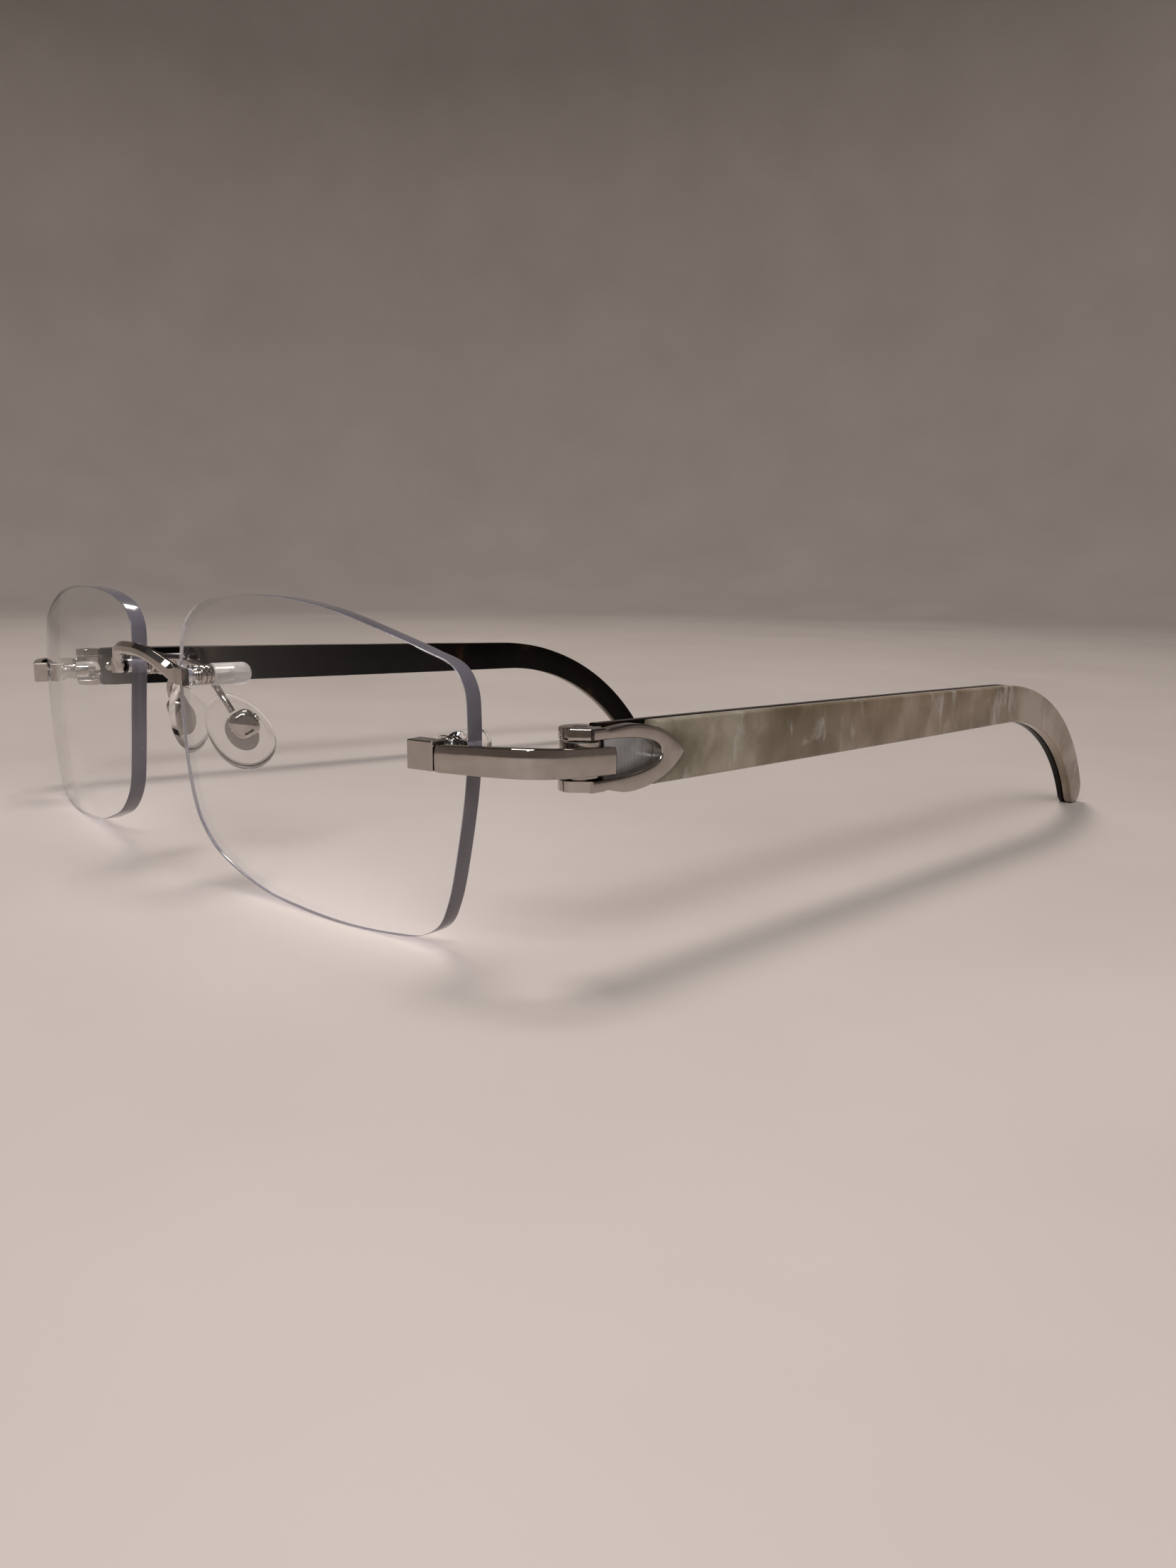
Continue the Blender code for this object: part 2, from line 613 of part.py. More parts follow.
def bridge_shape():
    right = [(-x, y, z) for x, y, z in BRIDGE_PATH[:0:-1]]
    path = curve_through(right + list(BRIDGE_PATH), 2)
    sections = []
    for i, p in enumerate(path):
        tangent = unit(path[min(i + 1, len(path) - 1)] - path[max(i - 1, 0)])
        depth = unit(np.cross(UP, tangent))
        rise = np.cross(tangent, depth)
        if abs(p[0]) > 9.0:
            depth, rise = np.array((0.0, 1.0, 0.0)), UP
        corner = 0.4 if abs(p[0]) < 8.0 else 0.15
        reach, *_ = zip(*BRIDGE_HALF)
        half_y = np.interp(abs(p[0]), reach, [row[1] for row in BRIDGE_HALF])
        half_z = np.interp(abs(p[0]), reach, [row[2] for row in BRIDGE_HALF])
        sections.append([p + depth * a + rise * b for a, b in rounded_rectangle(half_y, half_z, corner, 1)])
    return loft(sections)


def tube(path, radius, sides=10):
    sections = []
    for i, p in enumerate(path):
        tangent = unit(path[min(i + 1, len(path) - 1)] - path[max(i - 1, 0)])
        a = unit(np.cross(tangent, (0.0, 0.3, 1.0)))
        b = np.cross(tangent, a)
        sections.append([p + radius * (math.cos(t) * a + math.sin(t) * b)
                         for t in (2 * math.pi * k / sides for k in range(sides))])
    return loft(sections)


def pad_place():
    up, back = unit(PAD_UP), unit(PAD_BACK)
    nose = np.cross(up, back)
    origin = np.asarray(PAD_CENTRE)
    return lambda p: origin + up * p[0] + back * p[1] + nose * p[2]


def pad_shape():
    """Egg-shaped cushion, flat on its arm side and domed towards the nose."""
    sections, count = [], 28
    for scale, level in ((0.78, -1.05), (0.95, -0.8), (1.0, -0.2), (0.96, 0.45), (0.82, 0.85), (0.5, 1.05)):
        ring = []
        for k in range(count):
            t = 2 * math.pi * k / count
            a, b = math.cos(t), math.sin(t)
            ring.append((PAD_LENGTH / 2 * a * scale, PAD_WIDTH / 2 * b * (1 - 0.14 * a) * scale, level))
        sections.append(ring)
    return loft(sections)


def nose_pad(side, tag):
    place = pad_place()
    length, width, depth = PAD_BOX
    at_l, at_w = PAD_BOX_AT
    skin = -PAD_THICK / 2
    top = skin - 0.5
    pad = piece(f"{tag}_nose_pad", pad_shape().at(place), "clear", side)
    oval = [(PAD_PLATE_AT[0] + PAD_PLATE[0] * math.cos(t), PAD_PLATE_AT[1] + PAD_PLATE[1] * math.sin(t))
            for t in (2 * math.pi * k / 20 for k in range(20))]
    axis_level = top - 0.4 - depth / 2
    lug = slab([(at_l + 0.85 * a, at_w + 0.45 * b) for a, b in CORNERS], axis_level - 0.7, top + 0.2)
    pin = through_hole(PAD_SCREW_R + 0.07, (at_l, at_w, axis_level), (0, 1, 0), 4.0, 12)
    insert = piece(f"{tag}_pad_insert", slab(oval, top, skin - 0.03).at(place), "metal", side,
                   [("UNION", lug.at(place)), ("DIFFERENCE", pin.at(place))])
    body = slab([(at_l + a, at_w + b) for a, b in rounded_rectangle(length / 2, width / 2, 1.2, 3)],
                top - 0.4 - depth, top - 0.4, 0.8)
    slot = slab([(at_l + 1.3 * a, at_w + 0.6 * b) for a, b in CORNERS], axis_level - 0.95, top + 1.0)
    grip = through_hole(PAD_SCREW_R + 0.03, (at_l, at_w, axis_level), (0, 1, 0), 4.0, 12)
    piece(f"{tag}_pad_box", body.at(place), "metal", side,
          [("DIFFERENCE", slot.at(place)), ("DIFFERENCE", grip.at(place))])
    half = width / 2
    screw = revolve([(0.0, -half), (PAD_SCREW_R, -half), (PAD_SCREW_R, half + 0.03), (0.6, half + 0.03),
                     (0.5, half + 0.25), (0.0, half + 0.3)], (at_l, at_w, axis_level), (0, 1, 0), 12)
    piece(f"{tag}_pad_screw", screw.at(place), "metal", side)
    box_end = place((at_l + length / 2 + 0.35, at_w - 0.3, axis_level))
    path = curve_through(list(ARM_PATH) + [tuple(box_end)], 3)
    piece(f"{tag}_pad_arm", tube(path, ARM_R), "metal", side)
    pivot = place((at_l, at_w, axis_level))
    for ob in (pad, insert):
        put_origin(ob, (side * pivot[0] * MM, pivot[1] * MM, pivot[2] * MM))


def half_frame(side, tag, fold):
    holes = []
    for mount in (NASAL_MOUNT, TEMPORAL_MOUNT):
        point, _, back = mount_frame(mount)
        holes.append(("DIFFERENCE", through_hole(LENS_HOLE_R, point, back, 6.0, 24)))
    piece(f"{tag}_lens", lens_shape(), "lens", side, holes)
    stud_set(side, f"{tag}_bridge", NASAL_MOUNT, 0.1, LENS_THICKNESS + 5.2,
             flange=(1.35, 0.8), nut=(1.3, 1.6), cap=(1.45, 5.0))
    stud_set(side, f"{tag}_end", TEMPORAL_MOUNT, 0.06, LENS_THICKNESS + 4.4,
             flange=(1.6, 0.5), nut=(1.3, 1.9), cap=(1.7, 3.9))
    piece(f"{tag}_end_block", end_block(), "metal", side)
    end_bar(side, tag)
    temple(side, tag, fold)
    nose_pad(side, tag)


def centre_on_floor():
    """Put the middle of the bounding box over the world origin."""
    points = np.array([ob.matrix_world @ v.co for ob in bpy.data.objects for v in ob.data.vertices])
    middle = (points.min(axis=0) + points.max(axis=0)) / 2
    for ob in bpy.data.objects:
        ob.location -= Vector((middle[0], middle[1], 0.0))


clear_scene()
half_frame(1.0, "left", 0.0)
half_frame(-1.0, "right", RIGHT_FOLD)
piece("bridge", bridge_shape(), "metal", 1.0)
bpy.context.view_layer.update()
centre_on_floor()
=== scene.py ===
"""Rimless eyeglasses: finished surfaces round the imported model.

Every piece is shaped for the wearer's left side in millimetres, mirrored for the
right side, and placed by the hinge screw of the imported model.
"""
import json
import math

import bpy
import numpy as np
from mathutils import Matrix, Vector

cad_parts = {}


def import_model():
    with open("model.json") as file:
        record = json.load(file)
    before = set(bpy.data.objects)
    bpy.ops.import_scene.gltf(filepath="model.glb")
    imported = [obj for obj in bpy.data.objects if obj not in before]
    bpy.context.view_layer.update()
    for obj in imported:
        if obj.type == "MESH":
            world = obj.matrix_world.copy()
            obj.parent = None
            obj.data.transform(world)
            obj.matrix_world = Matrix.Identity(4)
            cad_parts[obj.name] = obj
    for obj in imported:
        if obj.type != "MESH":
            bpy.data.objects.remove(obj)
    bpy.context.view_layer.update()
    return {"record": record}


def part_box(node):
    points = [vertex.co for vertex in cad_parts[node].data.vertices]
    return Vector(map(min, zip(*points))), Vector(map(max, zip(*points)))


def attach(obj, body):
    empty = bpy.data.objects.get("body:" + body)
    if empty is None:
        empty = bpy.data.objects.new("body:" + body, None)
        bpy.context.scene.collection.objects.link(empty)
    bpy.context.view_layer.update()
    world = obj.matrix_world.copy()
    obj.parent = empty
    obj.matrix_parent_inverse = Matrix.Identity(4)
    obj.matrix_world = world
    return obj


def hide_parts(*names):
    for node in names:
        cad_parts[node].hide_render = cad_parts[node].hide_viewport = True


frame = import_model()

MM = 0.001
RECORD = frame["record"]
BODY_OF = {node: body for body, nodes in RECORD["behaviour"]["bodies"].items() for node in nodes}
SLOT_OF = {row["node"]: row["material_slot"] for row in RECORD["subparts"]}

# lenses
LENS_CENTRE_X = 34.0
WRAP = math.radians(6.6)
BASE_RADIUS = 152.0
LENS_THICKNESS = 2.1
LENS_EDGE = ((26.85, 0.0), (26.9, 6.0), (26.4, 9.2), (24.9, 11.3), (21.2, 12.7), (15.0, 14.5), (8.2, 16.2),
             (1.5, 17.2), (-6.0, 17.6), (-13.5, 17.35), (-19.5, 16.5), (-23.6, 15.0), (-25.7, 12.7),
             (-26.3, 9.0), (-25.9, 2.0), (-24.9, -5.0), (-23.1, -10.5), (-19.3, -14.2), (-14.0, -16.3),
             (-7.5, -17.9), (0.0, -18.65), (7.5, -18.95), (14.5, -18.65), (19.3, -18.0), (22.3, -16.4),
             (23.9, -13.6), (25.5, -8.0))

# drilled mountings
NASAL_MOUNT = (9.4, 25.9)
TEMPORAL_MOUNT = (56.4, 21.4)
LENS_HOLE_R = 0.95
STUD_R = 0.7

# end piece and hinge
HINGE_X, HINGE_Y, HINGE_Z = 67.0, 14.8, 21.1
BLOCK_WIDTH, BLOCK_HEIGHT, BLOCK_FRONT = 3.3, 3.05, 2.25
BAR_THICKNESS, BAR_HALF, BAR_TAPER = 1.25, 1.5, 0.12
BAR_SINK, BAR_ARCH = 0.23, 0.35
BAR_OUT = 2.7
TONGUE_END = 2.75
BARREL_R, BARREL_HALF = 2.1, 1.93
EAR_R, EAR_HALF = 2.2, 3.25
EAR_FLAT, EAR_FLAT_TURN = 1.86, math.radians(-44.0)
RAIL_FRONT, RAIL_NECK = -0.5, 1.15
FORK_HALF, WINDOW_HALF = 3.6, 2.05
WAIST_HALF = 3.12
RING_SAG = 0.2
PLATE_FRONT = 2.25
OUTER_FRONT = 9.2
FORK_IN, FORK_OUT = 1.25, 2.6
FORK_TIP, WINDOW_END = 13.35, 9.7
SCREW_R = 0.65

# temples
TOE_IN = math.radians(1.6)
RIGHT_FOLD = math.radians(6.0)
TEMPLE_DROP = math.radians(0.5)
BEND_START, BEND_RADIUS = 90.0, 42.0
TEMPLE_HALF = ((0.0, 3.42), (20.0, 3.38), (66.0, 3.12), (90.0, 2.9), (104.0, 2.6), (140.0, 2.15))
TIP_INWARD = 1.8
LAYER_IN, LAYER_MID, LAYER_OUT = -1.0, 0.3, 2.2
LAYER_GAP = 0.04

# bridge and nose pads
BRIDGE_PATH = ((0.0, -3.75, 29.0), (2.6, -3.65, 28.95), (5.0, -3.3, 28.45), (7.0, -2.65, 27.45),
               (8.5, -1.9, 26.45), (9.7, -1.52, 26.0), (11.4, -1.47, 25.9))
BRIDGE_HALF = ((0.0, 0.75, 0.82), (5.0, 0.75, 0.82), (8.5, 0.65, 1.0), (9.7, 0.5, 1.08), (11.4, 0.48, 1.08))
ARM_PATH = ((5.3, -2.22, 28.1), (5.05, -0.3, 28.0), (5.1, 2.0, 27.6), (5.6, 4.3, 26.6), (7.3, 5.2, 24.65),
            (9.5, 5.4, 22.85))
ARM_R = 0.42
PAD_CENTRE = (8.3, 8.0, 18.1)
PAD_UP = (-0.25, -0.45, 0.857)
PAD_BACK = (0.343, 0.786, 0.512)
PAD_LENGTH, PAD_WIDTH, PAD_THICK = 11.0, 7.6, 2.2
PAD_BOX_AT = (0.65, 1.06)
PAD_PLATE_AT = (-0.25, 0.2)
PAD_PLATE = (2.55, 1.9)
PAD_BOX = (3.7, 3.4, 2.1)
PAD_SCREW_R = 0.35

UP = np.array((0.0, 0.0, 1.0))

low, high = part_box("left_hinge_screw")
SHIFT = ((low + high) / 2 / MM) - Vector((HINGE_X, HINGE_Y, 0.0))
SHIFT.z = 0.0


# ---------------------------------------------------------------- materials

def new_material(name):
    mat = bpy.data.materials.new(name)
    mat.use_nodes = True
    tree = mat.node_tree
    tree.nodes.clear()
    return mat, tree


def node(tree, kind, **sockets):
    """New shader node; each socket is given a value or linked from another socket."""
    made = tree.nodes.new(f"ShaderNode{kind}")
    for key, value in sockets.items():
        set_socket(tree, made.inputs[key.replace("_", " ")], value)
    return made


def set_socket(tree, socket, value):
    if isinstance(value, bpy.types.NodeSocket):
        tree.links.new(value, socket)
    else:
        socket.default_value = value


def principled(tree, **sockets):
    return node(tree, "BsdfPrincipled", **sockets)


def output(tree, socket):
    node(tree, "OutputMaterial", Surface=socket)


def noise(tree, scale, stretch=(1.0, 1.0, 1.0), detail=3.0, rough=0.5, distortion=0.0):
    """Noise over object space in millimetres, stretched along the axes."""
    place = node(tree, "Mapping", Vector=node(tree, "TexCoord").outputs["Object"],
                 Scale=[1000.0 / s for s in stretch])
    return node(tree, "TexNoise", Vector=place.outputs["Vector"], Scale=scale, Detail=detail,
                Roughness=rough, Distortion=distortion).outputs["Fac"]


def ramp(tree, socket, stops):
    """Colour ramp of (position, colour) stops."""
    made = tree.nodes.new("ShaderNodeValToRGB")
    made.color_ramp.elements.remove(made.color_ramp.elements[1])
    for index, (at, colour) in enumerate(stops):
        if index == 0:
            element = made.color_ramp.elements[0]
            element.position = at
        else:
            element = made.color_ramp.elements.new(at)
        element.color = (*colour, 1.0)
    tree.links.new(socket, made.inputs["Fac"])
    return made.outputs["Color"]


def spread(tree, socket, low, high):
    """Map a 0 to 1 value to the range low to high."""
    return node(tree, "MapRange", Value=socket, To_Min=low, To_Max=high).outputs["Result"]


def blend_colours(tree, factor, a, b, mode="MIX"):
    """Mix two colours; the factor and the colours may be sockets or plain values."""
    made = node(tree, "Mix")
    made.data_type = "RGBA"
    made.blend_type = mode
    for index, value in ((0, factor), (6, a), (7, b)):
        set_socket(tree, made.inputs[index], value)
    return made.outputs[2]


def mix_shaders(tree, factor, a, b):
    made = node(tree, "MixShader")
    for index, value in enumerate((factor, a, b)):
        set_socket(tree, made.inputs[index], value)
    return made.outputs["Shader"]


def bump(tree, shader, height, strength, distance):
    made = node(tree, "Bump", Strength=strength, Distance=distance, Height=height)
    tree.links.new(made.outputs["Normal"], shader.inputs["Normal"])


def polished_metal(name, tint=(0.46, 0.42, 0.385), rough=(0.04, 0.09)):
    """Rhodium-plated metal: near-mirror, with faint clouding and handling marks."""
    mat, tree = new_material(name)
    shader = principled(tree, Metallic=1.0)
    cloud = noise(tree, 0.6, detail=4.0)
    dark = tuple(0.88 * c for c in tint)
    tree.links.new(ramp(tree, cloud, ((0.3, dark), (0.65, tint))), shader.inputs["Base Color"])
    marks = noise(tree, 2.4, stretch=(1.0, 1.0, 2.5), detail=5.0, rough=0.7)
    tree.links.new(spread(tree, marks, *rough), shader.inputs["Roughness"])
    bump(tree, shader, noise(tree, 0.5, detail=1.0), 0.12, 0.0001)
    output(tree, shader.outputs["BSDF"])
    return mat


def brushed_metal(name):
    """Steel brushed upright, with a cool grey tone."""
    mat, tree = new_material(name)
    shader = principled(tree, Metallic=1.0)
    lines = noise(tree, 9.0, stretch=(1.0, 1.0, 26.0), detail=4.0, rough=0.7)
    cloud = noise(tree, 0.45, detail=2.0)
    streaks = ramp(tree, lines, ((0.3, (0.40, 0.41, 0.42)), (0.5, (0.52, 0.535, 0.55)),
                                 (0.72, (0.72, 0.74, 0.75))))
    tone = ramp(tree, cloud, ((0.3, (0.72, 0.74, 0.76)), (0.7, (1.0, 1.0, 1.0))))
    tree.links.new(blend_colours(tree, 1.0, streaks, tone, "MULTIPLY"), shader.inputs["Base Color"])
    tree.links.new(spread(tree, lines, 0.38, 0.55), shader.inputs["Roughness"])
    bump(tree, shader, lines, 0.25, 0.00002)
    output(tree, shader.outputs["BSDF"])
    return mat


def lets_light_through(tree, surface, tint):
    """Shadow rays pass a clear surface with a light tint."""
    clear = node(tree, "BsdfTransparent", Color=(*tint, 1.0))
    return mix_shaders(tree, node(tree, "LightPath").outputs["Is Shadow Ray"], surface, clear.outputs["BSDF"])


def lens_glass(name):
    """Coated lens faces: clear, with a faint uneven film on the polish."""
    mat, tree = new_material(name)
    shader = principled(tree, Transmission_Weight=1.0, IOR=1.5, Roughness=0.0,
                       Specular_Tint=(0.18, 0.19, 0.24, 1.0))
    film = noise(tree, 0.03, detail=2.0)
    tree.links.new(ramp(tree, film, ((0.3, (0.95, 0.955, 0.965)), (0.7, (0.985, 0.985, 0.99)))),
                   shader.inputs["Base Color"])
    output(tree, lets_light_through(tree, shader.outputs["BSDF"], (0.9, 0.9, 0.91)))
    return mat


def lens_rim(name):
    """Polished lens edge: bluish violet grey, part clear and part cloudy."""
    mat, tree = new_material(name)
    clear = principled(tree, Transmission_Weight=1.0, IOR=1.5, Roughness=0.08)
    wash = noise(tree, 0.08, stretch=(1.0, 1.0, 2.0), detail=3.0)
    tint = ramp(tree, wash, ((0.3, (0.50, 0.49, 0.56)), (0.7, (0.66, 0.655, 0.76))))
    tree.links.new(tint, clear.inputs["Base Color"])
    cloudy = principled(tree, Roughness=0.18, IOR=1.5)
    body = ramp(tree, wash, ((0.3, (0.20, 0.185, 0.205)), (0.7, (0.33, 0.315, 0.37))))
    tree.links.new(body, cloudy.inputs["Base Color"])
    mixed = mix_shaders(tree, 0.5, clear.outputs["BSDF"], cloudy.outputs["BSDF"])
    output(tree, lets_light_through(tree, mixed, (0.55, 0.55, 0.60)))
    return mat


def clear_plastic(name, tint=(0.95, 0.945, 0.93), rough=0.03, ior=1.42):
    """Clear moulded plastic with faint haze in the tint and the polish."""
    mat, tree = new_material(name)
    shader = principled(tree, Transmission_Weight=1.0, IOR=ior)
    haze = noise(tree, 0.7, detail=3.0)
    shade = tuple(0.94 * c for c in tint)
    tree.links.new(ramp(tree, haze, ((0.3, shade), (0.7, tint))), shader.inputs["Base Color"])
    tree.links.new(spread(tree, haze, 0.5 * rough, 1.5 * rough), shader.inputs["Roughness"])
    output(tree, lets_light_through(tree, shader.outputs["BSDF"], (0.8, 0.79, 0.78)))
    return mat


def frosted_silicone(name):
    """Cloudy cap: the stud inside still shows, blurred, under a soft grey haze."""
    mat, tree = new_material(name)
    shader = principled(tree, Transmission_Weight=0.80, IOR=1.36)
    haze = noise(tree, 1.1, detail=4.0)
    tree.links.new(ramp(tree, haze, ((0.3, (0.74, 0.71, 0.69)), (0.7, (0.88, 0.86, 0.845)))),
                   shader.inputs["Base Color"])
    tree.links.new(spread(tree, haze, 0.3, 0.46), shader.inputs["Roughness"])
    bump(tree, shader, noise(tree, 6.0, detail=2.0), 0.05, 0.00001)
    output(tree, lets_light_through(tree, shader.outputs["BSDF"], (0.6, 0.59, 0.58)))
    return mat


def along_temple(tree):
    """0 near the hinge ring, 1 from the middle of the temple on."""
    split = node(tree, "SeparateXYZ", Vector=node(tree, "TexCoord").outputs["Object"])
    return node(tree, "MapRange", Value=split.outputs["Y"], From_Min=-0.040, From_Max=0.005).outputs["Result"]


def pale_horn(name):
    """Polished horn: soft clouds, olive at the hinge and grey brown behind, with a few whitish wisps."""
    mat, tree = new_material(name)
    shader = principled(tree, Coat_Weight=0.35, Coat_Roughness=0.06)
    broad = noise(tree, 0.11, stretch=(1.0, 1.5, 1.1), detail=2.0, rough=0.4, distortion=0.5)
    small = noise(tree, 0.30, stretch=(1.0, 1.2, 1.4), detail=3.0, rough=0.5, distortion=0.5)
    fibre = noise(tree, 1.3, stretch=(1.0, 0.9, 5.0), detail=4.0, rough=0.6, distortion=0.4)
    curl = noise(tree, 0.26, stretch=(1.0, 0.9, 2.2), detail=5.0, rough=0.55, distortion=0.5)
    clouds = blend_colours(tree, 0.30, broad, small)
    olive = ramp(tree, clouds, ((0.36, (0.090, 0.072, 0.040)), (0.49, (0.165, 0.140, 0.090)),
                                (0.63, (0.330, 0.295, 0.225))))
    brown = ramp(tree, clouds, ((0.36, (0.165, 0.115, 0.068)), (0.49, (0.250, 0.190, 0.132)),
                                (0.63, (0.400, 0.330, 0.265))))
    base = blend_colours(tree, along_temple(tree), olive, brown)
    wisps = ramp(tree, curl, ((0.57, (0.0, 0.0, 0.0)), (0.66, (0.32, 0.32, 0.32)),
                              (0.76, (0.6, 0.6, 0.6))))
    mixed = blend_colours(tree, wisps, base, (0.62, 0.60, 0.56, 1.0))
    veil = ramp(tree, fibre, ((0.36, (0.94, 0.93, 0.91)), (0.50, (1.0, 1.0, 1.0)),
                              (0.66, (1.04, 1.04, 1.04))))
    mixed = blend_colours(tree, 0.6, mixed, veil, "MULTIPLY")
    tree.links.new(mixed, shader.inputs["Base Color"])
    tree.links.new(spread(tree, fibre, 0.18, 0.30), shader.inputs["Roughness"])
    bump(tree, shader, fibre, 0.05, 0.00004)
    output(tree, shader.outputs["BSDF"])
    return mat


def dark_horn(name):
    """Polished near-black horn with a few warm brown flecks."""
    mat, tree = new_material(name)
    shader = principled(tree, Specular_IOR_Level=0.10)
    clouds = noise(tree, 0.11, stretch=(1.0, 1.0, 2.2), detail=4.0, rough=0.6)
    grain = noise(tree, 1.2, stretch=(1.0, 5.0, 1.0), detail=4.0, rough=0.7)
    base = ramp(tree, clouds, ((0.42, (0.0015, 0.0012, 0.0012)), (0.62, (0.004, 0.003, 0.0025)),
                               (0.74, (0.040, 0.016, 0.007)), (0.86, (0.09, 0.035, 0.012))))
    tree.links.new(base, shader.inputs["Base Color"])
    tree.links.new(spread(tree, grain, 0.14, 0.28), shader.inputs["Roughness"])
    bump(tree, shader, grain, 0.06, 0.00004)
    output(tree, shader.outputs["BSDF"])
    return mat


def pale_floor(name):
    """Pale floor with faint clouds."""
    mat, tree = new_material(name)
    shader = principled(tree, Specular_IOR_Level=0.25)
    clouds = noise(tree, 0.012, detail=4.0, rough=0.55)
    tree.links.new(ramp(tree, clouds, ((0.3, (0.53, 0.47, 0.435)), (0.7, (0.58, 0.52, 0.485)))),
                   shader.inputs["Base Color"])
    tree.links.new(spread(tree, clouds, 0.45, 0.6), shader.inputs["Roughness"])
    output(tree, shader.outputs["BSDF"])
    return mat


METAL = polished_metal("polished_metal")
DULL = polished_metal("pad_plate_metal", (0.34, 0.31, 0.29), (0.16, 0.26))
MATERIALS = {
    "lens": (lens_glass("lens_face"), lens_rim("lens_rim")),
    "stud": (METAL,), "nut": (METAL,), "pad_arm": (METAL,), "pad_box": (METAL,), "pad_screw": (METAL,),
    "end_block": (METAL,), "end_bar": (METAL,), "bridge": (METAL,), "hinge_fork": (METAL,),
    "hinge_screw": (METAL,), "rivet": (METAL,), "pad_insert": (DULL,),
    "window_plate": (brushed_metal("brushed_plate"),),
    "clear_plastic": (clear_plastic("clear_bushing"),),
    "cap_silicone": (frosted_silicone("frosted_cap"),),
    "pad_silicone": (clear_plastic("clear_pad", (0.985, 0.98, 0.97), 0.02, 1.27),),
    "pale_horn": (pale_horn("pale_horn"),),
    "dark_horn": (dark_horn("dark_horn"),),
}


# ---------------------------------------------------------------- shapes

CORNERS = ((-1, -1), (1, -1), (1, 1), (-1, 1))


def unit(v):
    v = np.asarray(v, float)
    return v / np.linalg.norm(v)


class Shape:
    """Vertices in left-side millimetres, or in a piece's own axes, plus faces."""

    def __init__(self, verts, faces):
        self.verts = np.asarray(verts, float)
        self.faces = [list(f) for f in faces]

    def at(self, place):
        """The same shape with every vertex moved by place."""
        return Shape([place(p) for p in self.verts], self.faces)


def loft(sections):
    """Closed solid through equal rings of points, capped at both ends."""
    n = len(sections[0])
    verts = [p for ring in sections for p in ring]
    faces = []
    for i in range(len(sections) - 1):
        for j in range(n):
            k = (j + 1) % n
            faces.append((i * n + j, i * n + k, (i + 1) * n + k, (i + 1) * n + j))
    faces.append(list(range(n))[::-1])
    faces.append([(len(sections) - 1) * n + j for j in range(n)])
    return Shape(verts, faces)


def revolve(profile, origin, axis, segments=48):
    """Turn (radius, distance) pairs about an axis; a zero radius makes a pole."""
    axis = unit(axis)
    side = unit(np.cross(axis, (0.0, 0.0, 1.0)) if abs(axis[2]) < 0.9 else np.cross(axis, (1.0, 0, 0)))
    other = np.cross(axis, side)
    origin = np.asarray(origin, float)
    closed = profile[0] == profile[-1]
    verts, rows = [], []
    for radius, along in profile[:-1] if closed else profile:
        if radius == 0.0:
            rows.append([len(verts)] * segments)
            verts.append(origin + axis * along)
            continue
        rows.append(list(range(len(verts), len(verts) + segments)))
        for k in range(segments):
            t = 2 * math.pi * k / segments
            verts.append(origin + axis * along + radius * (math.cos(t) * side + math.sin(t) * other))
    pairs = list(zip(rows, rows[1:]))
    if closed or (profile[0][0] > 0.0 and profile[-1][0] > 0.0):
        pairs.append((rows[-1], rows[0]))
    faces = []
    for low_row, high_row in pairs:
        for k in range(segments):
            m = (k + 1) % segments
            ring = list(dict.fromkeys((low_row[k], low_row[m], high_row[m], high_row[k])))
            if len(ring) > 2:
                faces.append(ring)
    return Shape(verts, faces)


def through_hole(radius, origin, axis, segments, reach=(-4.0, 4.0)):
    """Round cutter along an axis, a little longer than the piece it passes."""
    low_end, high_end = reach
    return revolve([(0.0, low_end), (radius, low_end), (radius, high_end), (0.0, high_end)],
                   origin, axis, segments)


def rounded_rectangle(half_a, half_b, corner, steps=5):
    points = []
    for ca, cb, start in ((1, 1, 0), (-1, 1, 90), (-1, -1, 180), (1, -1, 270)):
        for k in range(steps + 1):
            t = math.radians(start + 90.0 * k / steps)
            points.append((ca * (half_a - corner) + corner * math.cos(t),
                           cb * (half_b - corner) + corner * math.sin(t)))
    return points


def rectangle(half_a, half_b, centre=(0.0, 0.0)):
    return [(centre[0] + a * half_a, centre[1] + b * half_b) for a, b in CORNERS]


def slab(outline, low_level, high_level):
    return loft([[(*p, level) for p in outline] for level in (low_level, high_level)])


def curve_through(points, per_span, closed=False):
    """Points along a centripetal Catmull-Rom curve."""
    pts = np.asarray(points, float)
    if closed:
        pts = np.vstack([pts[-1], pts, pts[0], pts[1]])
    else:
        pts = np.vstack([2 * pts[0] - pts[1], pts, 2 * pts[-1] - pts[-2]])
    made = []
    for k in range(1, len(pts) - 2):
        a, b, c, d = pts[k - 1:k + 3]
        ta = 0.0
        tb = ta + math.sqrt(np.linalg.norm(b - a))
        tc = tb + math.sqrt(np.linalg.norm(c - b))
        td = tc + math.sqrt(np.linalg.norm(d - c))
        for t in np.linspace(tb, tc, per_span, endpoint=False):
            ab = a + (b - a) * (t - ta) / (tb - ta)
            bc = b + (c - b) * (t - tb) / (tc - tb)
            cd = c + (d - c) * (t - tc) / (td - tc)
            abc = ab + (bc - ab) * (t - ta) / (tc - ta)
            bcd = bc + (cd - bc) * (t - tb) / (td - tb)
            made.append(abc + (bcd - abc) * (t - tb) / (tc - tb))
    if not closed:
        made.append(pts[-2])
    return made


def chord(path, i):
    """From the point before to the point after."""
    return path[min(i + 1, len(path) - 1)] - path[max(i - 1, 0)]


